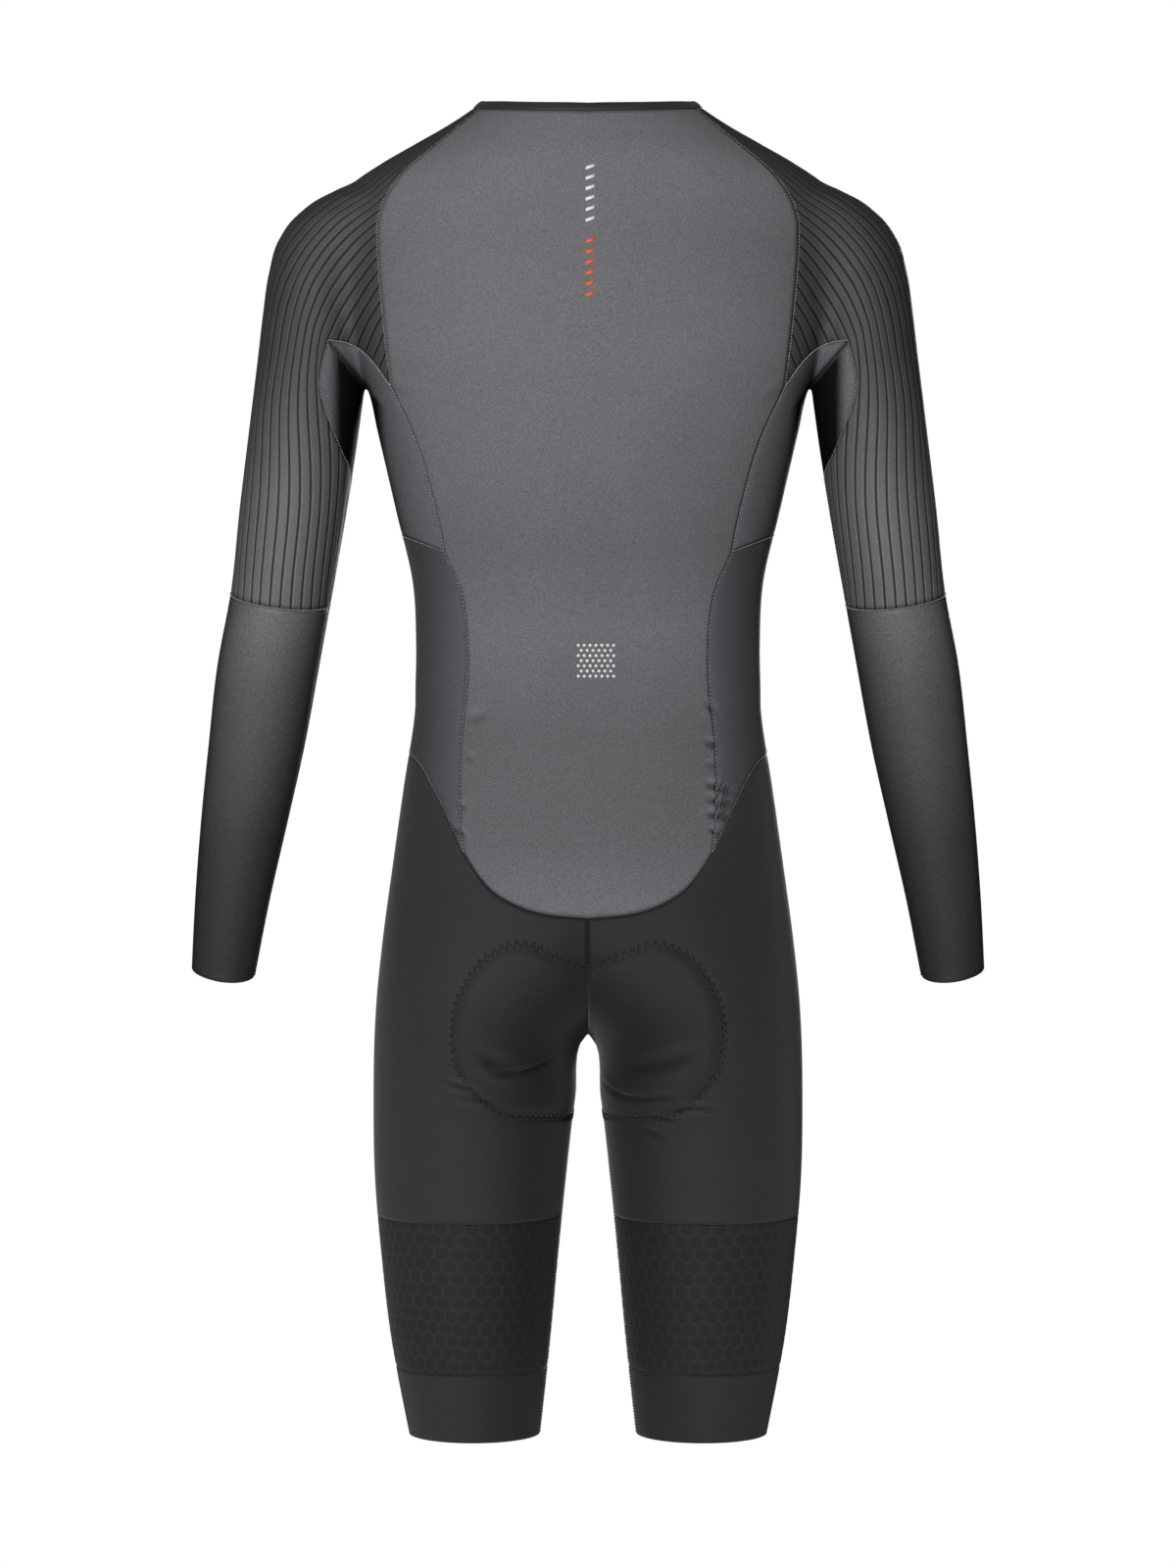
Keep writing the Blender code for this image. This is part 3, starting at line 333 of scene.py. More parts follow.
class Chart:
    def __init__(self, last_row, frame_at):
        self.last_row = last_row
        self.frame_at = frame_at  # row -> core point, unit vector at angle 0, unit vector at 90

    def place(self, angle, row):
        core, ahead, aside = self.frame_at(row)
        turn = np.radians(angle)[..., None]
        return reach_form(core, np.cos(turn) * ahead + np.sin(turn) * aside)

    def read(self, points, rows=None, in_order=False):
        """(angle, row) of points on the form, looking only between two rows."""
        low, high = rows or (0, self.last_row)
        trial = np.linspace(low, high, TRIALS)
        core, ahead, aside = self.frame_at(trial)
        across = np.cross(ahead, aside)
        height = ((points[:, None] - core) * across).sum(-1)
        found = np.empty(len(points))
        first = 0
        for i, line in enumerate(height):
            crossings = np.flatnonzero(line[:-1] * line[1:] <= 0)
            crossings = crossings[crossings >= first]
            if len(crossings):
                j = crossings[0]
                share = line[j] / (line[j] - line[j + 1])
                found[i] = trial[j] + (trial[j + 1] - trial[j]) * share
                first = j if in_order else 0
            else:
                found[i] = trial[first + np.abs(line[first:]).argmin()]
        core, ahead, aside = self.frame_at(found)
        offset = points - core
        angle = np.degrees(np.arctan2((offset * aside).sum(-1), (offset * ahead).sum(-1)))
        return angle, found


# %% Tables of the two fans, a line for each row, in millimetres and degrees
SLEEVE_FAN = (
    ("ridge_out", "ridge_down", "lean", "depth", "pitch", "core_back"),
    (89, -1, 40, 24, 0, 0),
    (117, 18, 58, 28, 0, 0),
    (152, 37, 60, 38, 0, 0),
    (185, 53, 54, 52, 0, 0),
    (214, 71, 47, 62, 0, 0),
    (234, 93, 42, 70, 0, 0),
    (241, 114, 38, 72, 0, 0),
    (246, 138, 33, 76, 0, 0),
    (251, 160, 28, 77, 0, 0),
    (255, 202, 12, 57, 1, 0),
    (259.5, 246, 8, 45, 3, -2),
    (267, 306, 8, 41, 6, -5),
    (274, 366, 8, 39, 12, -11),
    (286, 425, 9, 39, 17, -27),
    (294.5, 486, 9, 37, 18, -46),
    (302, 547, 9, 33.5, 18, -64),
    (308.5, 608, 9, 29, 18, -82),
    (313, 668, 9, 25, 18, -100),
)
UNDERARM_FAN = (
    ("core_out", "core_down", "air_out", "air_down"),
    (60, 360, 200, 360),
    (65, 330, 200, 330),
    (70, 300, 200, 300),
    (76, 268, 190, 270),
    (84, 238, 176, 242),
    (96, 205, 171, 226),
    (122, 152, 170, 223),
    (168, 120, 170, 222),
    (212, 140, 171, 222),
    (222, 184, 171, 223),
    (220, 214, 172, 226),
    (219, 240, 174, 240),
    (220, 262, 176, 262),
    (222, 288, 178, 288),
    (225, 310, 180, 310),
)
ELBOW_ROW, CUFF_ROW = 12.05, 16.86
SHOULDER_ROWS, INNER_ARM_ROWS = (0, 10.0), (8.0, 12.5)
FLANK_ROWS, TIP_ROWS = (0, 3.0), (10.0, 13.0)
INNER_ARM_TIP = 0.28


# %% The four charts
def fan_columns(fan):
    names, *rows = fan
    row = np.arange(len(rows))
    return {name: smooth(row, values) for name, values in zip(names, np.array(rows, float).T)}


def sleeve_frame(place, at=fan_columns(SLEEVE_FAN)):
    lean, pitch = np.radians(at["lean"](place)), np.radians(at["pitch"](place))
    still = np.zeros_like(lean)
    ahead = np.stack([np.cos(lean), still, np.sin(lean)], axis=-1)
    aside = np.stack([still, np.cos(pitch), -np.sin(pitch)], axis=-1)
    ridge = [at["ridge_out"](place), at["core_back"](place), -at["ridge_down"](place)]
    core = np.stack(ridge, axis=-1) - at["depth"](place)[..., None] * ahead
    return core * MM, ahead, aside


def underarm_frame(place, at=fan_columns(UNDERARM_FAN)):
    still = np.zeros_like(at["core_out"](place))
    core = np.stack([at["core_out"](place), still, -at["core_down"](place)], axis=-1)
    air = np.stack([at["air_out"](place), still, -at["air_down"](place)], axis=-1)
    ahead = air - core
    ahead /= np.linalg.norm(ahead, axis=-1, keepdims=True)
    return core * MM, ahead, np.broadcast_to([0.0, 1.0, 0.0], core.shape)


def upright_frame(core_out):
    def frame_at(down):
        still = np.zeros_like(down)
        core = np.stack([core_out(down), still, -down], axis=-1)
        ahead = np.broadcast_to([1.0, 0.0, 0.0], core.shape)
        return core, ahead, np.broadcast_to([0.0, 1.0, 0.0], core.shape)

    return frame_at


TRUNK = Chart(1.03, upright_frame(np.zeros_like))
LEG = Chart(1.03, upright_frame(body["lobe"]))
SLEEVE = Chart(len(SLEEVE_FAN) - 2, sleeve_frame)
UNDERARM = Chart(len(UNDERARM_FAN) - 2, underarm_frame)
print("rows of the sleeve", SLEEVE.last_row, "and of the underarm", UNDERARM.last_row)

# %% [markdown]
# ## The seams
# The seams are what makes it a suit and not a bag, and the photograph shows most of them. They are
# drawn as places seen square on, out from the middle and down from the neck, then laid on the form.
# Both panels at a seam take the same points from it, so no gap opens between them.

# %% Tables of the seams, in millimetres out from the middle and down from the neck
RAGLAN_BACK = ((110, 30), (140.6, 58), (156, 84), (158.3, 111), (154, 165), (148.3, 217))
RAGLAN_FRONT = ((98, 55), (117, 88), (131, 124), (142, 170), (148.3, 217))
SIDE_BACK = ((148.3, 217), (128, 262), (114, 312), (108.1, 342))
SIDE_FRONT = ((148.3, 217), (132, 255), (119, 295), (112, 322))
WAIST_BACK = ((108.1, 342), (94, 377), (90.4, 428), (95.8, 490), (95.3, 540), (92.8, 567))
WAIST_FRONT = ((112, 322), (102, 362), (98, 410), (99, 450), (100, 478))
ARMPIT_SEAM = ((148.3, 217), (163, 196.7), (178, 184), (196, 181))
INNER_ARM_SEAM = ((196, 181), (202.5, 212), (198.4, 234), (185.4, 267.3))
TAIL = ((92.8, 567), (80.9, 584.5), (69.1, 596.7), (50.1, 607), (29.8, 612.6), (0, 615.5))
PANEL_CUT = (("angle", "down"), (-44, 322), (0, 325), (20, 334), (30.5, 342))
HIP_SEAM = (("angle", "down"), (-45, 478), (0, 490), (20, 505), (33, 540), (41.3, 567))
NECK_BACK_ANGLE, NECK_FRONT_ANGLE = 21.0, -34.0
ZIP_HALF_WIDTH = 5 * MM
WAIST_FRONT_DOWN, BAND_TOP_DOWN, HEM_TOP_DOWN, HEM_DOWN = 456 * MM, 845 * MM, 960 * MM, 1012 * MM
CROTCH_CORE_DOWN = 620 * MM
RAGLAN_CELLS, SIDE_CELLS, WAIST_CELLS = 66, 44, 76
ARMPIT_CELLS, INNER_ARM_CELLS, PANEL_CUT_CELLS = 24, 30, 36
NECK_BACK_CELLS, NECK_FRONT_CELLS = 84, 40
SEAT_CELLS, LEG_CELLS = 60, 56
LEG_ROUND_CELLS = NECK_BACK_CELLS // 2 + PANEL_CUT_CELLS + NECK_FRONT_CELLS
panel_cut = columns(PANEL_CUT, plain=("angle",))["down"]
hip_seam = columns(HIP_SEAM, plain=("angle",))["down"]


# %% Drawing a seam
FINE = 400  # points of a line before it is divided evenly


def length_of(line):
    return float(np.linalg.norm(np.diff(line, axis=0), axis=-1).sum())


def distances(line):
    """How far along a line each of its points is."""
    steps = np.linalg.norm(np.diff(line, axis=0), axis=-1)
    return np.concatenate([[0], np.cumsum(steps)])


def evenly(points, cells, crowd=1.0):
    """Points along a line, both ends kept: the same distance apart, or closer at the end."""
    along = distances(points)
    wanted = along[-1] * (1 - np.linspace(1, 0, cells + 1) ** crowd)
    return np.stack([np.interp(wanted, along, column) for column in points.T], axis=-1)


def seam(places, cells, to_back=True, first=None):
    data = np.array(places, float) * MM
    if first is not None:
        data = np.vstack([[first[0], -first[2]], data])
    line = curve(data, FINE)
    return settle(evenly(project(line[:, 0], line[:, 1], to_back), cells))


def round_trunk(down_at, start, end, cells):
    angle = np.linspace(start, end, FINE)
    return settle(evenly(TRUNK.place(angle, down_at(angle)), cells))


def angle_of(point):
    return math.degrees(math.atan2(point[1], point[0]))


def join(*lines):
    """One line from several, each starting where the last one ends."""
    return np.vstack([lines[0]] + [line[1:] for line in lines[1:]])


def mirrored(points):
    return points * [-1, 1, 1]


def as_drawn(points):
    return points


SIDES = (("left", as_drawn), ("right", mirrored))


# %% Seams of the left half: down the body and round the arm
at = {}
neck_ends = {"back": NECK_BACK_ANGLE, "front": NECK_FRONT_ANGLE}
neck_end = {
    side: TRUNK.place(np.array([angle]), neck["seam"](np.array([angle])))[0]
    for side, angle in neck_ends.items()
}
at["raglan_back"] = seam(RAGLAN_BACK, RAGLAN_CELLS, True, neck_end["back"])
at["raglan_front"] = seam(RAGLAN_FRONT, RAGLAN_CELLS, False, neck_end["front"])
at["side_back"] = seam(SIDE_BACK, SIDE_CELLS, True)
at["side_front"] = seam(SIDE_FRONT, SIDE_CELLS, False)
at["waist_back"] = seam(WAIST_BACK, WAIST_CELLS, True)
at["waist_front"] = seam(WAIST_FRONT, WAIST_CELLS, False)
for side, to_back in (("back", True), ("front", False)):
    at["armpit_" + side] = seam(ARMPIT_SEAM, ARMPIT_CELLS, to_back)
    line = seam(INNER_ARM_SEAM, 60, to_back)
    angle, row = SLEEVE.read(line, INNER_ARM_ROWS)
    turn = np.linspace(angle[-1], 180.0 if to_back else -180.0, 30)
    extra = SLEEVE.place(turn, np.linspace(row[-1], row[-1] + INNER_ARM_TIP, 30))
    at["inner_arm_" + side] = settle(evenly(join(line, extra), INNER_ARM_CELLS))
tip = (at["inner_arm_back"][-1] + at["inner_arm_front"][-1]) / 2
at["inner_arm_back"][-1] = at["inner_arm_front"][-1] = tip
at["tail"] = seam(TAIL, NECK_BACK_CELLS // 2, True)
for name, down_at, ends in (("panel_cut", panel_cut, "side"), ("hip", hip_seam, "waist")):
    start, end = [angle_of(at[ends + side][-1]) for side in ("_back", "_front")]
    at[name] = round_trunk(down_at, start, end, PANEL_CUT_CELLS)
print("seams down the body", sorted(at))

# %% Seams of the neck, the belly and the zip
front_downs = {"seam": neck["seam"](-90), "edge": neck["edge"](-90), "waist": WAIST_FRONT_DOWN}
zip_angle = {
    name: math.degrees(-math.acos(ZIP_HALF_WIDTH / body["front"](down)))
    for name, down in front_downs.items()
}
SHOULDER_CELLS = 60
for name in ("seam", "edge"):
    for part, start, end, cells in (
        ("_back", 90, NECK_BACK_ANGLE, NECK_BACK_CELLS // 2),
        ("_shoulder", NECK_BACK_ANGLE, NECK_FRONT_ANGLE, SHOULDER_CELLS),
        ("_front", NECK_FRONT_ANGLE, zip_angle[name], NECK_FRONT_CELLS),
    ):
        at["neck_" + name + part] = round_trunk(neck[name], start, end, cells)
hip_end, hip_down = angle_of(at["waist_front"][-1]), -at["waist_front"][-1][2]


def waist_down(angle):
    share = np.clip((angle - hip_end) / (-90 - hip_end), 0, 1)
    return hip_down + (WAIST_FRONT_DOWN - hip_down) * np.sin(share * math.pi / 2)


at["belly"] = round_trunk(waist_down, hip_end, zip_angle["waist"], NECK_FRONT_CELLS)
top, bottom = at["neck_seam_front"][-1], at["belly"][-1]
down = np.linspace(-top[2], -bottom[2], RAGLAN_CELLS + SIDE_CELLS + WAIST_CELLS + 1)
at["zip"] = project(np.full_like(down, ZIP_HALF_WIDTH), down, False)
at["zip"][0], at["zip"][-1] = top, bottom

# %% Seams between the legs and down the inside of the sleeves
turn = np.radians(np.linspace(0, 180, 600))
ways = np.stack([np.zeros_like(turn), np.cos(turn), -np.sin(turn)], axis=-1)
middle_line = reach_form(np.broadcast_to([0, 0, -CROTCH_CORE_DOWN], ways.shape), ways)
crotch = middle_line[middle_line[:, 2].argmin()]
CROTCH_CROWD = 1.2


def middle_seam(start_down, to_back):
    lowest = middle_line[:, 2].argmin()
    half = middle_line[: lowest + 1] if to_back else middle_line[lowest:][::-1]
    below = half[-half[:, 2] > start_down]
    above = np.linspace(start_down, -below[0][2], 40, endpoint=False)
    return evenly(
        np.vstack([project(np.zeros_like(above), above, to_back), below]), SEAT_CELLS, CROTCH_CROWD
    )


at["middle_back"] = middle_seam(-at["tail"][-1][2], True)
at["middle_front"] = middle_seam(WAIST_FRONT_DOWN, False)
rows = -crotch[2] + (BAND_TOP_DOWN + crotch[2]) * np.linspace(0, 1, LEG_CELLS + 1) ** CROTCH_CROWD
at["inner_leg"] = LEG.place(np.full_like(rows, 180.0), rows)
at["inner_leg"][0] = crotch
tip_row = SLEEVE.read(tip[None], INNER_ARM_ROWS)[1][0]
rows = np.linspace(tip_row, ELBOW_ROW, 40)
at["inside_arm"] = SLEEVE.place(np.full_like(rows, 180.0), rows)
at["inside_arm"][0] = tip
turn = np.linspace(180, -180, 241)
at["elbow"] = SLEEVE.place(turn, np.full_like(turn, ELBOW_ROW))
rows = np.linspace(ELBOW_ROW, CUFF_ROW, 90)
at["inside_forearm"] = SLEEVE.place(np.full_like(rows, 180.0), rows)
print("seam lengths in mm", {name: round(length_of(line) / MM) for name, line in at.items()})

# %% [markdown]
# ## Relief: seams that dip, soft creases and the pad's bulge
# Tight knit lies flat, and what breaks it up is small: each seam pulls the cloth in by half a
# millimetre, a few creases gather where the leg meets the seat, and the pad shows through the shorts.
# These are moved into the mesh itself, as heights above the form. A simulation would spread folds of
# its own choosing, so the creases are placed from the photograph, uneven on purpose.

# %% Creases, one by one
CREASE_POINTS, CREASE_GAIN = 40, 1.9
BEHIND_ARM = 170 * MM  # creases farther out than this lie on the arm
CREASES = (  # side, depth in mm, width in mm, then places (out, down): out is positive on the left
    ("back", 1.4, 2.1, (70, 733), (52, 731), (39, 727), (29, 721)),
    ("back", 1.0, 4.5, (80, 719), (67, 727), (52, 728)),
    ("back", 1.6, 2.2, (-10, 740), (-22, 748), (-40, 751), (-64, 750)),
    ("back", 0.8, 5.0, (-32, 729), (-54, 727), (-80, 719)),
    ("back", 0.9, 1.7, (-58, 762), (-76, 758), (-97, 759)),
    ("back", 0.8, 1.8, (-46, 765), (-69, 768)),
    ("back", 0.6, 2.6, (-40, 775), (-56, 780)),
    ("back", 0.8, 2.2, (105, 738), (92, 743), (80, 748)),
    ("back", 0.6, 2.4, (98, 748), (74, 754)),
    ("back", 1.5, 2.2, (-89, 517), (-98, 519), (-107, 521)),
    ("back", 1.2, 2.0, (-89, 528), (-99, 530), (-109, 530)),
    ("back", 1.5, 2.2, (-89, 540), (-99, 540), (-108, 542)),
    ("back", 1.2, 1.8, (-91, 551), (-100, 554)),
    ("back", 0.9, 2.4, (-88, 486), (-98, 488)),
    ("back", 0.8, 2.4, (-88, 456), (-97, 464)),
    ("back", 0.5, 2.0, (-88, 502), (-97, 503)),
    ("back", 1.2, 1.9, (105, 547), (92, 555)),
    ("back", 0.7, 1.8, (99, 533), (90, 534)),
    ("back", 0.5, 3.0, (91, 470), (74, 465)),
    ("back", 0.4, 2.4, (93, 497), (84, 500)),
    ("back", 0.2, 4.0, (149, 214), (141, 222), (132, 226)),
    ("back", 0.2, 4.0, (-149, 215), (-140, 224), (-130, 231)),
    ("front", 1.6, 3.5, (12, 700), (34, 684), (58, 662)),
    ("front", 1.4, 3.5, (-10, 704), (-30, 690), (-60, 664)),
    ("front", 0.9, 4.5, (22, 716), (50, 704), (80, 690)),
    ("front", 0.9, 4.5, (-20, 722), (-46, 706), (-74, 696)),
    ("front", 0.8, 3.0, (8, 448), (26, 450), (44, 446)),
    ("front", 0.8, 3.0, (-8, 440), (-22, 443), (-38, 438)),
    ("front", 0.7, 3.0, (8, 424), (30, 428)),
    ("front", 0.6, 3.2, (-8, 408), (-28, 410)),
    ("front", 0.4, 4.0, (147, 212), (136, 224), (120, 230)),
    ("front", 0.4, 4.0, (-147, 214), (-134, 222), (-118, 232)),
    ("front", 1.1, 5.0, (214, 402), (236, 408), (262, 404)),
    ("front", 0.9, 4.5, (-214, 396), (-238, 404), (-262, 400)),
    ("front", 0.7, 4.0, (218, 420), (244, 424)),
    ("front", 0.7, 4.0, (-216, 416), (-246, 418)),
)


def crease_lines():
    """Each crease as places on the form, with its depth and width in metres."""
    lines = []
    for side, depth, width, *places in CREASES:
        line = curve(np.array(places, float) * MM, CREASE_POINTS)
        core = np.stack([line[:, 0], np.zeros(CREASE_POINTS), -line[:, 1]], axis=-1)
        on_arm = np.abs(line[:, 0]) > BEHIND_ARM
        core[on_arm, 1] = arm["back"](line[on_arm, 1])
        way = np.broadcast_to([0, 1 if side == "back" else -1, 0], core.shape)
        lines.append((reach_form(core, way), depth * MM, width * MM))
    return lines


crease_set = crease_lines()
print(len(crease_set), "creases")


# %% The height of the creases
def crease_height(points):
    """A soft trough along each crease with a low ridge above it, fading out at both ends."""
    height = np.zeros(len(points))
    for line, depth, width in crease_set:
        reach = 4 * width
        low, high = line.min(axis=0) - reach, line.max(axis=0) + reach
        near = np.flatnonzero(((points > low) & (points < high)).all(axis=1))
        if not len(near):
            continue
        apart = points[near][:, None] - line[None]
        distance = np.linalg.norm(apart, axis=-1)
        nearest = distance.argmin(axis=1)
        d = distance[np.arange(len(near)), nearest] / width
        above = np.sign(apart[np.arange(len(near)), nearest, 2])
        fade = np.sin(math.pi * (nearest + 0.5) / len(line)) ** 0.7
        trough = -np.exp(-(d**2))
        ridge = 0.55 * np.exp(-((d - 1.9) ** 2)) * (above > 0) + 0.25 * np.exp(-((d - 2.1) ** 2))
        height[near] += CREASE_GAIN * depth * fade * (trough + ridge)
    return height


# %% Helpers that look for near points and for points inside an outline
def distance_to(samples, points):
    """From each point to the nearest of the samples."""
    tree = kdtree.KDTree(len(samples))
    for i, sample in enumerate(samples):
        tree.insert(sample, i)
    tree.balance()
    return np.array([tree.find(point)[2] for point in points])


def inside_outline(points, corners):
    """Which points of a plane lie inside a closed outline."""
    inside = np.zeros(len(points), bool)
    for a, b in zip(corners, np.roll(corners, -1, axis=0)):
        crosses = (a[1] > points[:, 1]) != (b[1] > points[:, 1])
        with np.errstate(divide="ignore", invalid="ignore"):
            x = (b[0] - a[0]) * (points[:, 1] - a[1]) / (b[1] - a[1]) + a[0]
        inside ^= crosses & (points[:, 0] < x)
    return inside


# %% The pad under the shorts
PAD_BACK = (  # out from the middle and down, seen from behind
    (0, 653), (21, 645), (35, 639), (49, 634), (62, 637), (76, 645), (87, 658), (96, 675),
    (100, 694), (100, 711), (96, 728), (87, 742), (77, 753), (63, 762), (49, 765),
)
PAD_INSIDE = ((216, 757), (236, 735), (248, 705), (247, 672), (240, 650))
PAD_UNDER = ((152, 768), (180, 768), *PAD_INSIDE)  # angle round the leg, distance down
PAD_BULGE, PAD_SOFT, PAD_DIP, PAD_DIP_WIDTH = 2.4 * MM, 9 * MM, 0.9 * MM, 2.0 * MM
PAD_MIDDLE_TOP = 653 * MM  # where the two lobes of the pad meet, on the middle seam
PAD_HIGHEST, PAD_LOWEST = -0.60, -0.80


def pad_edge_line():
    """The stitched edge of the pad on the left half, from the middle seam at the back."""
    back = curve(np.array(PAD_BACK, float) * MM, FINE)
    back = project(back[:, 0], back[:, 1], True)
    angle, down = LEG.read(back[-1:])
    under = curve(np.array([(angle[0], down[0] / MM), *PAD_UNDER]) * [1, MM], 300)
    return settle(evenly(join(back, LEG.place(under[:, 0], under[:, 1])), 500))


pad_edge = pad_edge_line()
pad_angles, pad_downs = LEG.read(pad_edge)
pad_angles = np.where(pad_angles < 0, pad_angles + 360, pad_angles)


def pad_height(points):
    """How far the pad lifts the shorts, for points of the left half."""
    height = np.zeros(len(points))
    near = np.flatnonzero((points[:, 2] < PAD_HIGHEST) & (points[:, 2] > PAD_LOWEST))
    angle, down = LEG.read(points[near])
    angle = np.where(angle < 0, angle + 360, angle)
    corners = np.stack([pad_angles, pad_downs], axis=-1)
    corners = np.vstack([corners, [[180.0, PAD_MIDDLE_TOP - 0.02]]])
    inside = inside_outline(np.stack([angle, down], axis=-1), corners)
    distance = distance_to(pad_edge, points[near])
    share = np.clip(distance / PAD_SOFT, 0, 1)
    rise = PAD_BULGE * share * share * (3 - 2 * share)
    rise = np.where(inside, rise, 0) - PAD_DIP * np.exp(-((distance / PAD_DIP_WIDTH) ** 2))
    to_inner_leg = np.clip((165 - angle) / 45, 0, 1) + np.clip((angle - 205) / 30, 0, 1)
    height[near] = rise * np.clip(to_inner_leg, 0, 1)
    return height


# %% Dips along the seams
SEAM_SAMPLE, SEAM_DIP, SEAM_DIP_WIDTH = 0.8 * MM, 0.55 * MM, 1.3 * MM


def dip_at(points, lines):
    """How far seams pull the cloth in, nought away from them, and each point's distance to one."""
    samples = [evenly(line, max(2, int(length_of(line) / SEAM_SAMPLE))) for line in lines]
    distance = distance_to(np.vstack(samples), points)
    return -SEAM_DIP * np.exp(-((distance / SEAM_DIP_WIDTH) ** 2)), distance


# %% [markdown]
# ## Fabrics
# The suit has six kinds of cloth: a mottled grey knit for the trunk, a ribbed speed fabric on the
# sleeves, a smooth coated one on the forearms, a matte black knit for the shorts, a band knitted in
# cells and a twill at the hems. Their grain is under half a millimetre, so colour and bump come from
# fine noise in the object's own space. What changes slowly is painted on the mesh: a dye's fade, and
# painted light and shade at the sides, seams, creases and armpits.


# %% A helper for node trees
class Nodes:
    """Makes nodes and links in one material, with few words."""

    def __init__(self, name):
        self.material = bpy.data.materials.new(name)
        self.material.use_nodes = True
        self.tree = self.material.node_tree
        self.shader = self.tree.nodes["Principled BSDF"]

    def add(self, kind, settings=None, **inputs):
        node = self.tree.nodes.new("ShaderNode" + kind)
        for key, value in (settings or {}).items():
            setattr(node, key, value)
        for key, value in inputs.items():
            self.put(node.inputs[key.replace("_", " ")], value)
        return node

    def put(self, socket, value):
        if isinstance(value, bpy.types.NodeSocket):
            self.tree.links.new(value, socket)
        else:
            socket.default_value = value

    def math(self, operation, *values):
        node = self.tree.nodes.new("ShaderNodeMath")
        node.operation = operation
        for socket, value in zip(node.inputs, values):
            self.put(socket, value)
        return node.outputs[0]

    def value(self, name):
        """A number painted on the mesh."""
        return self.add("Attribute", {"attribute_name": name}).outputs["Fac"]

    def ranged(self, value, low, high, to_low=0.0, to_high=1.0):
        node = self.add("MapRange", {"interpolation_type": "SMOOTHSTEP"})
        for socket, number in zip(node.inputs, (value, low, high, to_low, to_high)):
            self.put(socket, number)
        return node.outputs[0]

    def times(self, colour, factor):
        """A colour made lighter or darker by a number."""
        node = self.add("VectorMath", {"operation": "SCALE"})
        self.put(node.inputs[0], colour)
        self.put(node.inputs["Scale"], factor)
        return node.outputs[0]

    def tint(self, factor):
        """Makes the colour that the shader has now lighter or darker by a number."""
        socket = self.shader.inputs["Base Color"]
        self.put(socket, self.times(socket.links[0].from_socket, factor))

    def noise(self, scale, detail=2.0, stretch=(1, 1, 1)):
        where = self.add("TexCoord").outputs["Object"]
        if stretch != (1, 1, 1):
            where = self.add("Mapping", Vector=where, Scale=stretch).outputs[0]
        return self.add("TexNoise", Vector=where, Scale=scale, Detail=detail).outputs["Fac"]

    def bump(self, height, strength, distance=0.0004, under=None):
        node = self.add("Bump", Height=height, Strength=strength, Distance=distance)
        if under is not None:
            self.put(node.inputs["Normal"], under)
        return node.outputs["Normal"]


# %% Two families of finish: plain specks, and knit cloth
def speckled(name, colour, roughness, low, high, scale, detail=2.0, stretch=(1, 1, 1)):
    """Thread, print, plastic or metal: one colour in fine lighter and darker specks."""
    n = Nodes(name)
    n.specks = n.noise(scale, detail, stretch)
    factor = n.ranged(n.specks, 0.3, 0.7, low, high)
    n.put(n.shader.inputs["Base Color"], n.times(colour, factor))
    n.shader.inputs["Roughness"].default_value = roughness
    return n


def knit(name, colour, mottle=0.26, grain=1100.0, roughness=0.78, sheen=0.06, strength=0.35):
    """A fine knit: mottled at a millimetre, uneven over some centimetres, lightened or darkened by
    `shade`: painted light and shade, and a dye's fade.
    """
    n = Nodes(name)
    fine = n.noise(grain, 1.0)
    loops = n.noise(grain * 0.55, 0.0, (1, 1, 2.6))
    broad = n.noise(9.0, 2.0)
    grainy = n.ranged(fine, 0.25, 0.75, 1 - mottle, 1 + mottle)
    uneven = n.ranged(broad, 0.2, 0.8, 0.95, 1.05)
    factor = n.math("MULTIPLY", n.math("MULTIPLY", grainy, uneven), n.value("shade"))
    n.put(n.shader.inputs["Base Color"], n.times((*colour,), factor))
    n.put(n.shader.inputs["Normal"], n.bump(n.math("ADD", fine, loops), strength, 0.00025))
    n.shader.inputs["Roughness"].default_value = roughness
    n.shader.inputs["Specular IOR Level"].default_value = 0.25
    n.shader.inputs["Sheen Weight"].default_value = sheen
    n.shader.inputs["Sheen Roughness"].default_value = 0.5
    return n


back_knit = knit("back_knit", (0.140, 0.137, 0.148)).material
side = knit("side_knit", (0.126, 0.125, 0.136), sheen=0.0)
side.shader.inputs["Specular IOR Level"].default_value = 0.06
side_knit = side.material
lower_side_knit = knit("lower_side_knit", (0.060, 0.059, 0.066), 0.18).material
shorts_knit = knit("shorts_knit", (0.0330, 0.0340, 0.0385), 0.18, 1300, 0.7, 0.10, 0.25).material
collar_knit = knit("collar_knit", (0.030, 0.030, 0.032), 0.2, 900, 0.6, 0.05, 0.5).material
pad_knit = knit("pad_knit", (0.075, 0.075, 0.080), 0.2, 700, 0.9, 0.1, 0.6).material

# %% Coated cloth of the forearm
coated = knit("coated_cloth", (0.150, 0.147, 0.150), 0.22, 800, 0.55, 0.0, 0.5)
coated.shader.inputs["Specular IOR Level"].default_value = 0.35
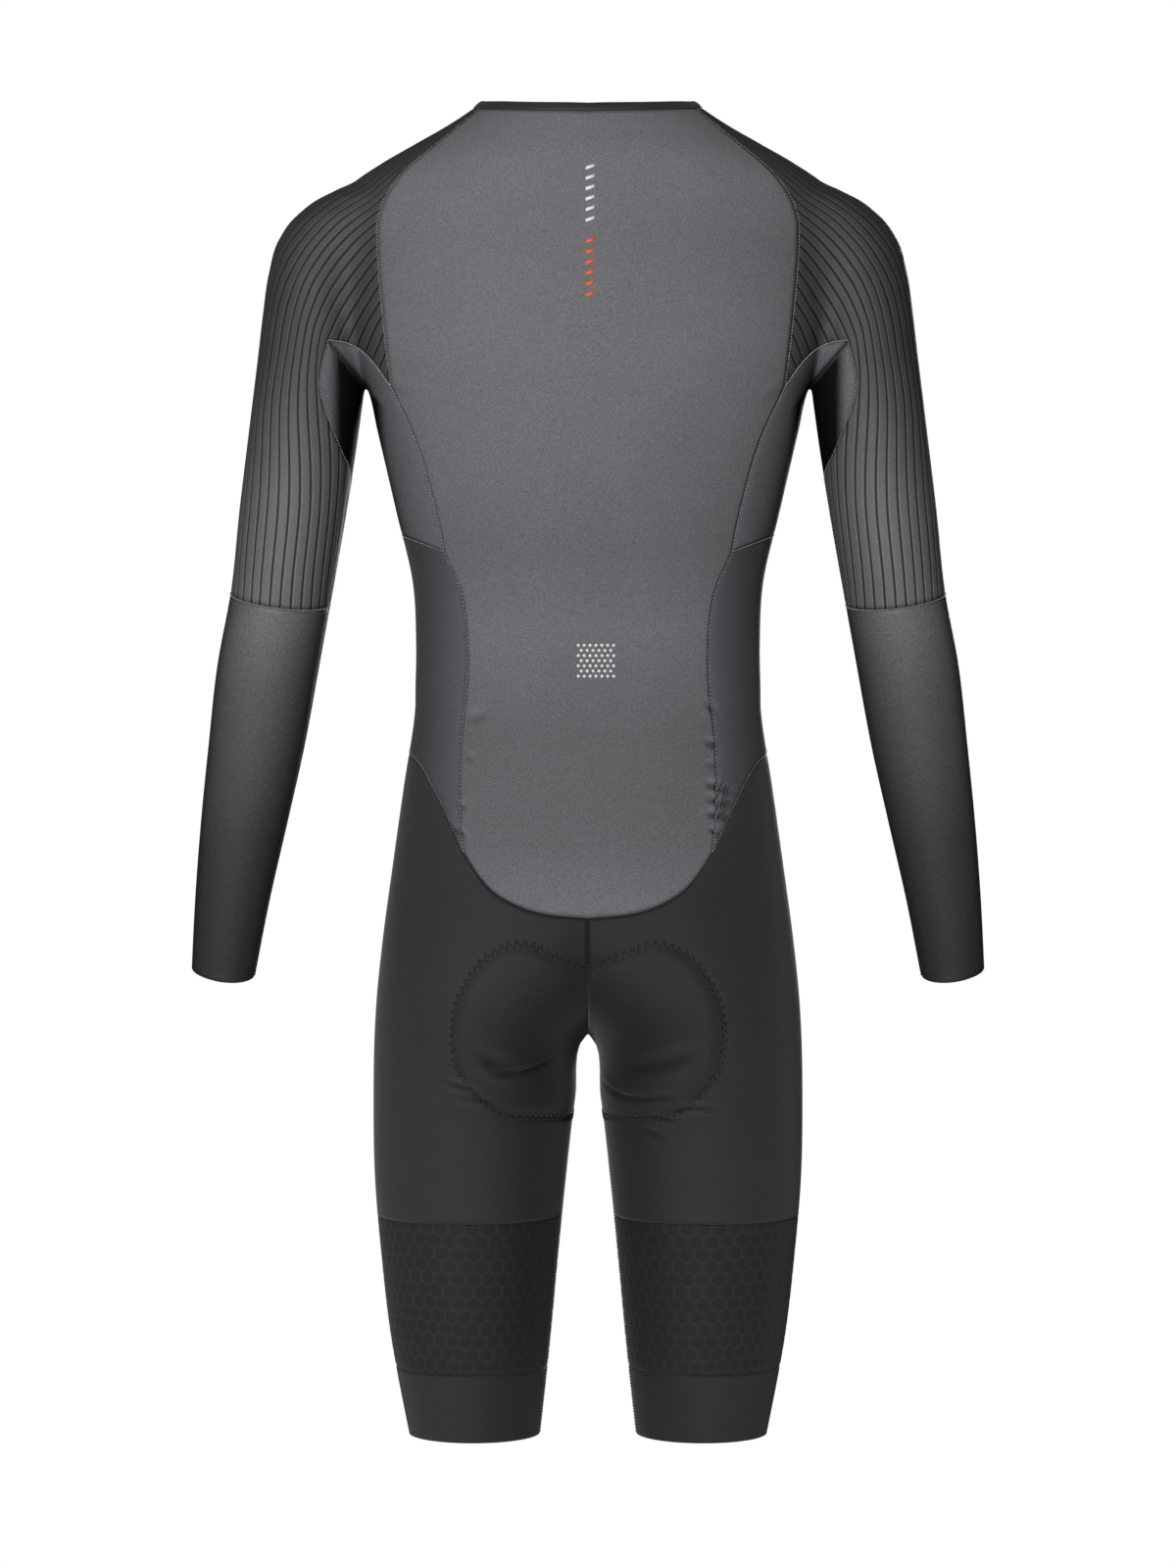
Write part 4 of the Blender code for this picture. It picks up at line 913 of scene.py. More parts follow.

# %% Ribbed cloth of the sleeve
# Painted shade darkens each groove, and a painted highlight lightens a line along both its edges.
RIB_PITCH, RIB_START = 8.8, 27.0  # mm round the arm from groove to groove, and to groove 0
GROOVE_SHADE, GROOVE_EDGE, GROOVE_CLEAR = 0.16, 0.55, 1.15  # how dark it is, and from and to where in mm
EDGE_HIGHLIGHT, EDGE_MIDDLE, EDGE_WIDE = 1.35, 1.55, 0.5
ribbed = knit("ribbed_cloth", (0.098, 0.097, 0.101), 0.14, 1000, 0.62, 0.02, 0.4)
from_groove = ribbed.math("PINGPONG", ribbed.value("rib"), RIB_PITCH / 2)  # 0 in a groove
groove_shade = ribbed.ranged(from_groove, GROOVE_EDGE, GROOVE_CLEAR, GROOVE_SHADE, 1.0)
from_edge = ribbed.math("ABSOLUTE", ribbed.math("SUBTRACT", from_groove, EDGE_MIDDLE))
edge_highlight = ribbed.ranged(from_edge, 0.0, EDGE_WIDE, EDGE_HIGHLIGHT, 1.0)
ribbed.tint(ribbed.math("MULTIPLY", groove_shade, edge_highlight))

# %% Cell pattern of the thigh band, and the twill of the hem
CELL, WALL_LIGHT = 11.0, 1.55  # mm across a cell, and how much lighter its border is
TWILL_PITCH = 1.9
band = knit("band_cloth", (0.0185, 0.019, 0.022), 0.10, 1300, 0.75, 0.06, 0.3)
band.tint(band.ranged(band.value("cell_wall"), 0.0, 1.0, 1.0, WALL_LIGHT))
hem = knit("hem_twill", (0.0300, 0.0295, 0.0345), 0.10, 1300, 0.7, 0.06, 0.2)
twill_wave = hem.math("SINE", hem.math("MULTIPLY", hem.value("twill"), 2 * math.pi / TWILL_PITCH))
hem.tint(hem.ranged(twill_wave, -1, 1, 0.82, 1.2))
hem_normal = hem.shader.inputs["Normal"]
hem.put(hem_normal, hem.bump(twill_wave, 0.5, 0.0003, hem_normal.links[0].from_socket))
print("fabrics", sorted(m.name for m in bpy.data.materials))

# %% [markdown]
# ## Cloth from a grid
# A piece of cloth is an open sheet, 0.7 mm thick. The outer skin is made first: its points
# lie on the form, lifted or sunk by the relief. Blender's Solidify then gives it an inner skin and a
# rim. A closed block would be easier, but the neck, cuffs and hems must show that the suit is hollow.

# %% Making a piece, and a sheet of cloth
def make_piece(name, points, faces, material, painted=(), closed=True):
    """A smooth piece of the suit, with values painted on its points. A closed one is turned outwards."""
    mesh = bpy.data.meshes.new(name)
    mesh.from_pydata([tuple(p) for p in points], [], faces)
    for key, values in dict(painted).items():
        layer = mesh.attributes.new(key, "FLOAT", "POINT")
        layer.data.foreach_set("value", np.ascontiguousarray(values, np.float32))
    mesh.materials.append(material)
    mesh.update()
    mesh.shade_smooth()
    if closed:
        work = bmesh.new()
        work.from_mesh(mesh)
        bmesh.ops.recalc_face_normals(work, faces=work.faces)
        work.to_mesh(mesh)
        work.free()
    piece = bpy.data.objects.new(name, mesh)
    bpy.context.scene.collection.objects.link(piece)
    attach(piece, "suit")
    print(name, len(points), "points,", len(faces), "faces")
    return piece


CLOTH = 0.7 * MM
made_areas = {}


def sheet_object(name, points, faces, fabric, painted):
    """A sheet of cloth from its outer skin, thickened inwards."""
    piece = make_piece(name, points, faces, fabric, painted, closed=False)
    made_areas[name] = sum(face.area for face in piece.data.polygons)
    wall_thickness = piece.modifiers.new("thickness", "SOLIDIFY")
    wall_thickness.thickness, wall_thickness.offset = CLOTH, -1
    return piece


# %% From a grid to cloth
def grid_faces(rows, columns_):
    index = np.arange(rows * columns_).reshape(rows, columns_)
    quads = np.stack([index[:-1, :-1], index[1:, :-1], index[1:, 1:], index[:-1, 1:]], axis=-1)
    return quads.reshape(-1, 4)


def facing_out(points, faces):
    """The faces, turned over if they look into the suit."""
    middle = len(faces) // 2
    a, b, c = points[faces[middle][:3]]
    looks = np.cross(b - a, c - a) @ outward(((a + b + c) / 3)[None])[0]
    return faces if looks > 0 else faces[:, ::-1]


def plain_shade(points):
    return np.ones(len(points))


def turned_away_shade(points, amount):
    """Painted shade: less colour where the cloth turns away to the sides, as light from behind and in
    front falls off there.
    """
    return 1 - amount * (1 - np.abs(outward(points)[:, 1]))


# Painted shade in the dips along the seams and in the creases, and a painted highlight on the ridge above
# a crease.
SEAM_SHADE, SEAM_SHADE_WIDTH = 0.28, 1.0 * MM
CREASE_SHADE, CREASE_DEEP, RIDGE_HIGHLIGHT, RIDGE_HIGH = 0.5, 1.2 * MM, 0.35, 0.8 * MM


def cloth(name, grid, fabric, seams, shade=plain_shade, extra=None, paint=None):
    """One piece of the left half or the middle, from its grid of places."""
    rows, across = grid.shape[:2]
    points = grid.reshape(-1, 3)
    dip, distance = dip_at(points, seams) if seams else (0, np.full(len(points), 1.0))
    crease = crease_height(points)
    height = dip + crease + (extra(points) if extra else 0)
    normal = outward(points)
    moved = points + normal * height[:, None] if np.ndim(height) else points
    # Painted shade darkens the creases and the seams, and a painted highlight lightens the crease ridges.
    crease_shading = CREASE_SHADE * np.clip(-crease / CREASE_DEEP, 0, 1)
    crease_shading = crease_shading - RIDGE_HIGHLIGHT * np.clip(crease / RIDGE_HIGH, 0, 1)
    shading = (1 - SEAM_SHADE * np.exp(-((distance / SEAM_SHADE_WIDTH) ** 2))) * (1 - crease_shading)
    painted = {"shade": shade(points) * shading}
    if paint:
        painted.update(paint(grid))
    faces = grid_faces(rows, across)
    return sheet_object(name, moved, facing_out(points, faces).tolist(), fabric, painted)


def both_sides(name, grid, fabric, seams, shade=plain_shade, extra=None, paint=None):
    """The left piece and the right one. They share a cut, but each has its own creases."""
    for side, turned in SIDES:
        turned_seams = [turned(line) for line in seams]
        piece = cloth(
            f"{name}_{side}_cloth", turned(grid), fabric, turned_seams, shade, extra, paint
        )
        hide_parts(f"{name}_{side}")


# %% A grid between four seams
def coons(left, right, top, bottom):
    """A grid whose edges are these four lines, even in between."""
    v = np.linspace(0, 1, len(left))[:, None, None]
    u = np.linspace(0, 1, len(top))[None, :, None]
    across = (1 - u) * left[:, None] + u * right[:, None]
    downward = (1 - v) * top[None] + v * bottom[None]
    corners = (
        (1 - u) * (1 - v) * top[0]
        + u * (1 - v) * top[-1]
        + (1 - u) * v * bottom[0]
        + u * v * bottom[-1]
    )
    return across + downward - corners


def read_edge(chart, points, rows, near, in_order=False):
    """(angle, row) of a seam, its angles without a leap and nearest to `near` at its middle."""
    angle, row = chart.read(points, rows, in_order)
    angle = np.degrees(np.unwrap(np.radians(angle)))
    angle += 360 * np.round((near - angle[len(angle) // 2]) / 360)
    return np.stack([angle, row], axis=-1)


def panel(chart, left, right, top, bottom, near, top_rows=None, bottom_rows=None):
    """A grid of places on the form between four seams."""
    windows = (None, None, top_rows, bottom_rows)
    edges = [
        read_edge(chart, line, window, angle, in_order=i < 2)
        for i, (line, angle, window) in enumerate(zip((left, right, top, bottom), near, windows))
    ]
    grid = coons(*edges)
    points = chart.place(grid[..., 0], grid[..., 1])
    points[:, 0], points[:, -1], points[0], points[-1] = left, right, top, bottom
    return points


# %% [markdown]
# ## Back, front, sides and underarms
# The back is one large panel from the neck to a rounded tail over the seat, and it is the lightest
# cloth. The underarm panel runs over the armpit and ends in a tip inside the arm. Deep in the armpit
# almost no light comes in, and the photograph shows it nearly black, so its paint darkens there.

# %% Back panel
left = join(at["raglan_back"], at["side_back"], at["waist_back"])
neck_line = join(mirrored(at["neck_seam_back"])[::-1], at["neck_seam_back"])
tail_line = join(mirrored(at["tail"]), at["tail"][::-1])
back_grid = panel(TRUNK, mirrored(left), left, neck_line, tail_line, (140, 40, 90, 90))


def back_shade(points):
    """Painted light and shade: lightest between the shoulders and at the tail, a little darker at the
    waist, and darker where the back turns to the sides.
    """
    downs = [0.0, 0.05, 0.11, 0.19, 0.26, 0.34, 0.40, 0.48, 0.56, 0.60]
    shades = [1.16, 1.14, 0.96, 1.0, 0.93, 0.86, 0.98, 0.72, 0.78, 0.95]
    return np.interp(-points[:, 2], downs, shades) * turned_away_shade(points, 0.25)


back_seams = [left, mirrored(left), neck_line, tail_line]
back_piece = cloth("back_cloth", back_grid, back_knit, back_seams, back_shade)
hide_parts("back_panel")

# %% Front panels
front_left = join(at["raglan_front"], at["side_front"], at["waist_front"])
front_grid = panel(
    TRUNK, front_left, at["zip"], at["neck_seam_front"], at["belly"], (-50, -85, -60, -60)
)
front_seams = [front_left, at["zip"], at["neck_seam_front"], at["belly"]]
both_sides("front", front_grid, side_knit, front_seams)

# %% Lower side panels
side_grid = panel(
    TRUNK, at["waist_back"], at["waist_front"], at["panel_cut"], at["hip"], (40, -45, 0, 0)
)


def side_shade(points):
    """Painted shade: lighter towards the back panel, darker where the panel turns to the side."""
    out = np.abs(points[:, 0])
    return np.interp(out, [0.095, 0.110, 0.125, 0.14], [1.35, 1.0, 0.68, 0.52])


side_seams = [at["waist_back"], at["waist_front"], at["panel_cut"], at["hip"]]
both_sides("side_lower", side_grid, lower_side_knit, side_seams, side_shade)

# %% Underarm panels
underarm_back = join(at["side_back"][::-1], at["armpit_back"], at["inner_arm_back"])
underarm_front = join(at["side_front"][::-1], at["armpit_front"], at["inner_arm_front"])
underarm_tip = np.repeat(underarm_back[-1:], PANEL_CUT_CELLS + 1, axis=0)
underarm_grid = panel(
    UNDERARM, underarm_back, underarm_front, at["panel_cut"], underarm_tip, (40, -40, 0, 0),
    FLANK_ROWS, TIP_ROWS,
)


def underarm_shade(points):
    """Painted shadow, near black inside the arm up to the fold from the top of the gap to the tip of the
    arch seam, and painted shade in the fold, facing the gap and at the sides.
    """
    x, y, down = np.abs(points[:, 0]), points[:, 1], -points[:, 2]
    past_fold = (down - 0.183) - 1.127 * (0.195 - x)
    inside_arm = np.interp(x, [0.152, 0.160, 0.188, 0.195], [0, 1, 1, 0])
    high = np.clip((0.38 - down) / 0.09, 0, 1)
    black = np.clip(past_fold / 0.004, 0, 1) * inside_arm * high
    fold = np.exp(-((past_fold / 0.0022) ** 2)) * np.clip((x - 0.160) / 0.01, 0, 1)
    facing_gap = np.clip(1 - np.abs(y) / 0.034, 0, 1) * np.clip((0.42 - down) / 0.12, 0, 1)
    shade = (1 - 0.96 * black) * (1 - 0.9 * fold) * (1 - 0.7 * facing_gap)
    return shade * turned_away_shade(points, 0.35)


underarm_seams = [underarm_back, underarm_front, at["panel_cut"]]
both_sides("underarm", underarm_grid, side_knit, underarm_seams, underarm_shade)
print("panels", {name: round(area, 4) for name, area in made_areas.items()})

# %% [markdown]
# ## Ribbed sleeves
# Speed fabric has grooves knitted into it, 9 mm apart, that trip the air over the arm. They follow the
# outer ridge of the sleeve from the neck to the elbow and stop where they meet a seam. A bump would do
# for a distant view, but the edge of a sleeve would stay smooth, so the grooves are in the mesh. The
# cloth is laid out flat first: columns of points follow the grooves, the seams are its outline, and a
# Delaunay triangulation fills the outline. Then the flat pattern is wrapped back on to the form.

# %% The sleeve laid flat
TABLE_ROWS = np.linspace(0, ELBOW_ROW + 0.2, 200)
TABLE_ANGLES = np.linspace(-180, 180, 241)
table_places = SLEEVE.place(*np.meshgrid(TABLE_ANGLES, TABLE_ROWS))
steps = np.linalg.norm(np.diff(table_places, axis=1), axis=-1)
# Past the top of the gap a row leaps from the arm to the flank, so the tips keep the lengths before it.
GAP_ROW, TIP_END_ROW, TIP_ANGLE = 7.75, 8.6, 85
before_gap = np.searchsorted(TABLE_ROWS, GAP_ROW)
over_gap = np.arange(before_gap, np.searchsorted(TABLE_ROWS, TIP_END_ROW))
at_tips = np.flatnonzero(np.abs(TABLE_ANGLES[1:]) > TIP_ANGLE)
steps[np.ix_(over_gap, at_tips)] = steps[before_gap, at_tips]
arc_table = np.concatenate([np.zeros((len(TABLE_ROWS), 1)), np.cumsum(steps, axis=1)], axis=1)
arc_table -= arc_table[:, len(TABLE_ANGLES) // 2][:, None]
ridge_along = distances(table_places[:, len(TABLE_ANGLES) // 2])


# %% Where the grooves run
# Where grooves -3, -1, 1, ... cross some levels of the photograph, in its pixels, read off.
GROOVES = (
    ("level", "-3", "-1", "1", "3", "5", "7", "9"),
    (210, 322, 343, 366, 390, 414, 438, 462),
    (230, 300, 319, 342, 367, 391, 415, 439),
    (250, 286, 303, 323, 346, 371, 395, 419),
    (270, 279, 291, 309, 331, 355, 379, 403),
    (290, 275, 284, 299, 318, 341, 364, 388),
    (310, 272, 280, 293, 310, 330, 352, 375),
    (330, 268, 277, 289.5, 304.5, 321, 341, 363),
    (350, 263, 273, 286, 301, 317, 332, 354),
    (380, 256, 266, 281, 297, 314, 330, 348),
    (400, 253, 263, 277, 295, 313.5, 333, 352),
    (430, 250, 260, 275, 293, 314, 335, 355),
    (480, 249, 258, 275, 296, 318, 339, 358),
    (510, 246, 256, 274, 296, 319, 338, 357),
    (540, 243, 253, 271, 294, 316, 335, 353),
    (570, 240, 250, 268, 290, 312, 332, 350),
    (600, 237, 247, 264, 285, 307, 327, 345),
)


MM_PER_PIXEL, MIDDLE_PIXEL, LEVEL_PIXEL = 0.75, 600, 800
OVER_SHOULDER = (1.55, 0.009)  # how the grooves run inwards above the first level


def groove_number(points):
    """Which groove runs through a place on the back of the sleeve, with fractions in between."""
    names, *rows = GROOVES
    data = np.array(rows, float)
    numbers = np.array([int(name) for name in names[1:]], float)
    scale = CAMERA_BACK / (CAMERA_BACK - points[..., 1]) / (MM_PER_PIXEL * MM)
    across = MIDDLE_PIXEL - points[..., 0] * scale
    level = LEVEL_PIXEL - (points[..., 2] + CAMERA_DOWN) * scale
    above = np.maximum(data[0, 0] - level, 0)
    across = across - OVER_SHOULDER[0] * above - OVER_SHOULDER[1] * above**2
    lines = np.stack([np.interp(level, data[:, 0], column) for column in data[:, 1:].T], axis=-1)
    first, last = lines[..., :1], lines[..., -1:]
    gap = np.diff(lines, axis=-1)
    lines = np.concatenate([first - 3 * gap[..., :1], lines, last + 3 * gap[..., -1:]], axis=-1)
    numbers = np.concatenate([[numbers[0] - 6], numbers, [numbers[-1] + 6]])
    found = np.clip((lines < across[..., None]).sum(-1) - 1, 0, len(numbers) - 2)
    low = np.take_along_axis(lines, found[..., None], -1)[..., 0]
    high = np.take_along_axis(lines, found[..., None] + 1, -1)[..., 0]
    return numbers[found] + (numbers[found + 1] - numbers[found]) * (across - low) / (high - low)


# %% Moving the flat cloth so that its grooves run there
# The cloth is followed round the back only as far as it reaches, and held the same beyond.
BACK_LIMITS = (  # row, last angle
    (0, 64), (1.6, 75), (2.8, 82), (3.3, 93), (3.9, 106), (4.5, 115),
    (5.4, 121), (8.35, 121), (8.8, 85), (9.4, 99), (10.2, 130), (12.3, 140),
)
FIRST_ANGLE, FIRST_ROW = 42.0, 2.6
limit = np.interp(TABLE_ROWS, *np.array(BACK_LIMITS, float).T)
wanted = (groove_number(table_places) * RIB_PITCH + RIB_START) * MM
held = [
    np.interp(np.clip(TABLE_ANGLES, FIRST_ANGLE, last), TABLE_ANGLES, want - arc)
    for want, arc, last in zip(wanted, arc_table, limit)
]
first_held = np.searchsorted(TABLE_ROWS, FIRST_ROW)
held = np.array(held)[np.maximum(np.arange(len(TABLE_ROWS)), first_held)]
WINDOW, SOFT_ROWS = 14, 7.0  # the move is made even over this many rows
weights = np.exp(-((np.arange(-WINDOW, WINDOW + 1) / SOFT_ROWS) ** 2))
wider = np.pad(held, ((WINDOW, WINDOW), (0, 0)), mode="edge")
shift = sum(w * wider[i : i + len(held)] for i, w in enumerate(weights / weights.sum()))
arc_table = arc_table + shift
arc_table = np.maximum.accumulate(arc_table + np.arange(arc_table.shape[1]) * 1e-7, axis=1)
print("grooves moved by", (np.array([shift.min(), shift.max()]) / MM).round(1), "mm")


# %% From the form to the flat pattern and back
def flat_of(angle, row):
    """Where a place of the sleeve lies on its flat pattern: round from the ridge, and along it."""
    i = np.clip(np.searchsorted(TABLE_ROWS, row) - 1, 0, len(TABLE_ROWS) - 2)
    share = (row - TABLE_ROWS[i]) / (TABLE_ROWS[1] - TABLE_ROWS[0])
    place = (angle + 180) / (TABLE_ANGLES[1] - TABLE_ANGLES[0])
    j = np.clip(place.astype(int), 0, len(TABLE_ANGLES) - 2)
    rest = place - j
    first = arc_table[i, j] * (1 - rest) + arc_table[i, j + 1] * rest
    second = arc_table[i + 1, j] * (1 - rest) + arc_table[i + 1, j + 1] * rest
    return np.stack([first * (1 - share) + second * share, np.interp(row, TABLE_ROWS, ridge_along)], -1)


def angle_row_of(flat):
    """The same, the other way round."""
    row = np.interp(flat[:, 1], ridge_along, TABLE_ROWS)
    i = np.clip(np.searchsorted(TABLE_ROWS, row) - 1, 0, len(TABLE_ROWS) - 2)
    share = (row - TABLE_ROWS[i]) / (TABLE_ROWS[1] - TABLE_ROWS[0])
    angle = np.empty(len(flat))
    for k in range(len(flat)):
        arcs = arc_table[i[k]] * (1 - share[k]) + arc_table[i[k] + 1] * share[k]
        angle[k] = np.interp(flat[k, 0], arcs, TABLE_ANGLES)
    return angle, row


# %% The outline of the pattern
SLEEVE_EDGES = (  # seam, and the rows between which it lies
    ("raglan", SHOULDER_ROWS),
    ("armpit", (5.0, 10.0)),
    ("inner_arm", (6.0, 12.5)),
    ("inside_arm", (8.0, 12.6)),
)
OUTLINE_STEP = 2.5 * MM
NEARLY_BEHIND = 170  # degrees, past which an angle may be read with either sign


def flat_line(line, window, sign):
    angle, row = SLEEVE.read(line, window)
    angle = np.where(np.abs(angle) > NEARLY_BEHIND, sign * np.abs(angle), angle)
    return flat_of(angle, row)


def edges_down(side, sign):
    """The sleeve's edges from neck to elbow, each laid flat and as it is on the form."""
    lines = [at[name] if name in at else at[name + side] for name, _ in SLEEVE_EDGES]
    windows = [window for _, window in SLEEVE_EDGES]
    return [(flat_line(line, window, sign), line) for line, window in zip(lines, windows)]


elbow_flat = flat_of(TABLE_ANGLES[::-1], np.full(len(TABLE_ANGLES), ELBOW_ROW))
neck_flat = flat_line(at["neck_seam_shoulder"], SHOULDER_ROWS, 1)
outline_parts = [*edges_down("_back", 1), (elbow_flat, at["elbow"])]
for flat, places in (*edges_down("_front", -1)[::-1], (neck_flat, at["neck_seam_shoulder"])):
    outline_parts.append((flat[::-1], places[::-1]))
outline_flat, outline_places = [], []
for flat, places in outline_parts:
    cells = max(2, int(length_of(places) / OUTLINE_STEP))
    both = np.hstack([places, flat])
    along = distances(places)
    wanted = np.linspace(0, along[-1], cells + 1)[:-1]
    even = np.stack([np.interp(wanted, along, column) for column in both.T], axis=-1)
    outline_places.append(even[:, :3])
    outline_flat.append(even[:, 3:])
outline_flat, outline_places = np.vstack(outline_flat), np.vstack(outline_places)
print("sleeve pattern", (np.ptp(outline_flat, axis=0) / MM).round(), "mm", len(outline_flat), "points")

# %% Fill the pattern along the grooves
COLUMN_OFFSETS = np.array([-2.4, -1.15, -0.6, 0.0, 0.6, 1.15, 2.4, 4.0])  # mm from each groove
ROW_STEP, CLEAR = 4.3 * MM, 0.7 * MM
low, high = outline_flat.min(axis=0), outline_flat.max(axis=0)
pitches = np.arange(math.floor(low[0] / MM / RIB_PITCH) - 4, math.ceil(high[0] / MM / RIB_PITCH) + 1)
grid_s = (pitches[:, None] * RIB_PITCH + RIB_START + COLUMN_OFFSETS).ravel() * MM
grid_t = np.arange(low[1], high[1], ROW_STEP) + ROW_STEP / 2
filling = np.stack(np.meshgrid(grid_s, grid_t), axis=-1).reshape(-1, 2)
inside = inside_outline(filling, outline_flat)
clear = np.ones(len(filling), bool)
for a, b in zip(outline_flat, np.roll(outline_flat, -1, axis=0)):
    along = b - a
    share = np.clip(((filling - a) @ along) / max(along @ along, 1e-12), 0, 1)
    clear &= np.linalg.norm(filling - a - share[:, None] * along, axis=-1) > CLEAR
filling = filling[inside & clear]
angle, row = angle_row_of(filling)
filling = filling[(row < GAP_ROW) | (row > TIP_END_ROW) | (np.abs(angle) < TIP_ANGLE)]
corners = [Vector(point) for point in np.vstack([outline_flat, filling]) / MM]
count = len(outline_flat)
flat_points, _, flat_faces, sources, _, _ = delaunay_2d_cdt(
    corners, [], [list(range(count))], 1, 1e-4  # 1 keeps what is inside, then how near is the same
)
print("sleeve", len(flat_points), "points", len(flat_faces), "faces")

# %% Wrap the pattern back on to the form
flat_points = np.array([tuple(point) for point in flat_points]) * MM
angle, row = angle_row_of(flat_points)
sleeve_places = SLEEVE.place(angle, row)
for i, source in enumerate(sources):
    if source and min(source) < count:
        sleeve_places[i] = outline_places[min(source)]
flat_faces = np.array([face for face in flat_faces if len(face) == 3])
sleeve_seams = [line for _, line in (*edges_down("_back", 1), *edges_down("_front", -1)[:-1])]
sleeve_seams += [at["elbow"], at["neck_seam_shoulder"]]
GROOVE_DEPTH, GROOVE_FLOOR, GROOVE_WALL = 0.6 * MM, 0.45, 0.75  # deep, and mm across half its parts


def rib_height(s):
    """Grooves with steep walls and flat ribs between them."""
    from_middle = np.abs((s / MM - RIB_START + RIB_PITCH / 2) % RIB_PITCH - RIB_PITCH / 2)
    share = np.clip((from_middle - GROOVE_FLOOR) / GROOVE_WALL, 0, 1)
    return -GROOVE_DEPTH * (1 - share * share * (3 - 2 * share))


def sleeve_shade(points):
    """Partly a printed fade and partly painted light and shade: the ribs are darker towards the neck,
    lightest just above the elbow, and darker where the sleeve turns to the sides.
    """
    downs = [0, 0.06, 0.14, 0.19, 0.22, 0.30, 0.38]
    along = np.interp(-points[:, 2], downs, [0.46, 0.54, 0.56, 0.60, 0.76, 1.3, 1.36])
    return along * turned_away_shade(points, 0.55)


for side, turned in SIDES:
    places = turned(sleeve_places)
    dip, distance = dip_at(places, [turned(line) for line in sleeve_seams])
    height = rib_height(flat_points[:, 0]) * np.clip(distance / (2 * MM), 0, 1)
    height = height + dip + crease_height(places)
    moved = places + outward(places) * height[:, None]
    # Painted shade darkens the cloth in the dips along the seams.
    painted = {
        "shade": sleeve_shade(places) * (1 - 0.25 * np.exp(-((distance / MM) ** 2))),
        "rib": flat_points[:, 0] / MM - RIB_START,
    }
    name = "sleeve_upper_" + side
    faces = facing_out(places, flat_faces).tolist()
    piece = sheet_object(name + "_cloth", moved, faces, ribbed.material, painted)
    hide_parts(name)

# %% [markdown]
# ## Lower sleeves
# From the elbow down the sleeve is one smooth coated piece, closed along the inside of the arm. The
# print fades from grey to near black at the cuff, and painted shade darkens the sides of the arm. A fade
# could be a gradient texture, but the cloth's own rows are painted instead, so it follows the bent arm.
# The cuff is cut raw, with no hem.

# %% Forearm and cuff
FOREARM_ROWS, FOREARM_ROUND = 92, 120
turn, rows = np.meshgrid(
    np.linspace(180, -180, FOREARM_ROUND + 1), np.linspace(ELBOW_ROW, CUFF_ROW, FOREARM_ROWS + 1)
)
forearm_grid = SLEEVE.place(turn, rows)


def forearm_shade(points):
    """A printed fade from grey below the elbow to near black at the cuff, with painted shade where the
    arm turns to the sides.
    """
    downs = [0.37, 0.395, 0.42, 0.44, 0.50, 0.56, 0.63, 0.68]
    along = np.interp(-points[:, 2], downs, [0.86, 0.92, 0.78, 0.68, 0.52, 0.30, 0.22, 0.18])
    return along * turned_away_shade(points, 0.95)


forearm_seams = [at["elbow"], at["inside_forearm"]]
both_sides(
    "sleeve_lower", forearm_grid, coated.material, forearm_seams, forearm_shade
)

# %% [markdown]
# ## Shorts, thigh bands and hems
# Each half of the shorts is one piece from the waist to mid thigh. Below it a band is knitted in a
# pattern of cells that grips the air and the leg, and a woven twill band ends the leg. The cells are
# a little higher than the walls between them, so a wall value is worked out for each point: how near it
# is to the border between two cells of a honeycomb.

# %% Shorts
shorts_back = join(at["middle_back"], at["inner_leg"])
shorts_front = join(at["middle_front"], at["inner_leg"])
waist = at["belly"].copy()
waist[-1] = shorts_front[0]
shorts_back[0] = at["tail"][-1]
shorts_top = join(at["tail"][::-1], at["hip"], waist)
turn = np.linspace(180, -180, LEG_ROUND_CELLS + 1)
shorts_low = LEG.place(turn, np.full_like(turn, BAND_TOP_DOWN))
shorts_low[0], shorts_low[-1] = shorts_back[-1], shorts_front[-1]
shorts_grid = panel(LEG, shorts_back, shorts_front, shorts_top, shorts_low, (135, -135, 0, 0))
# At the crotch the rows come close, so each is kept a little below the one above it.
LEAST_STEP = 0.7 * MM
inner = shorts_grid[:, 1:-1]
angle, down = (part.reshape(inner.shape[:2]) for part in LEG.read(inner.reshape(-1, 3)))
least = LEAST_STEP * np.arange(len(down))[:, None]
spread = np.maximum.accumulate(down - least, axis=0) + least
shorts_grid[1:-1, 1:-1] = LEG.place(angle, spread)[1:-1]


def shorts_shade(points):
    """Painted light and shade: hips and the outer sides lighter, the middle of the seat over the pad and
    the inner sides darker.
    """
    out, down = np.abs(points[:, 0]), -points[:, 2]
    along = np.interp(down, [0.50, 0.62, 0.70, 0.80, 0.86], [1.05, 0.90, 0.9, 1.0, 1.0])
    crotch_shade = np.exp(-(((out - 0.035) / 0.045) ** 2) - ((down - 0.715) / 0.050) ** 2)
    return along * leg_shade(points) * (1 - 0.45 * crotch_shade)


def leg_shade(points):
    """Painted shade and sheen: darkest at the inside of the leg, where the other one keeps the light off,
    and lightest at the outer side, where the cloth shines.
    """
    outs = [0.0, 0.04, 0.066, 0.095, 0.124, 0.146, 0.165]
    across = np.interp(np.abs(points[:, 0]), outs, [0.36, 0.50, 0.60, 0.68, 0.78, 0.96, 1.15])
    return across * turned_away_shade(points, 0.3)


def pad_relief(points):
    left_half = points * [np.sign(points[len(points) // 2, 0]), 1, 1]
    return pad_height(left_half)


both_sides(
    "short", shorts_grid, shorts_knit,
    [at["middle_back"], at["middle_front"], at["inner_leg"], shorts_top], shorts_shade, pad_relief,
)


# %% Thigh band with cells
WALL_HALF, WALL_SOFT = 1.3, 0.9  # mm from the border to where a cell begins, and how softly


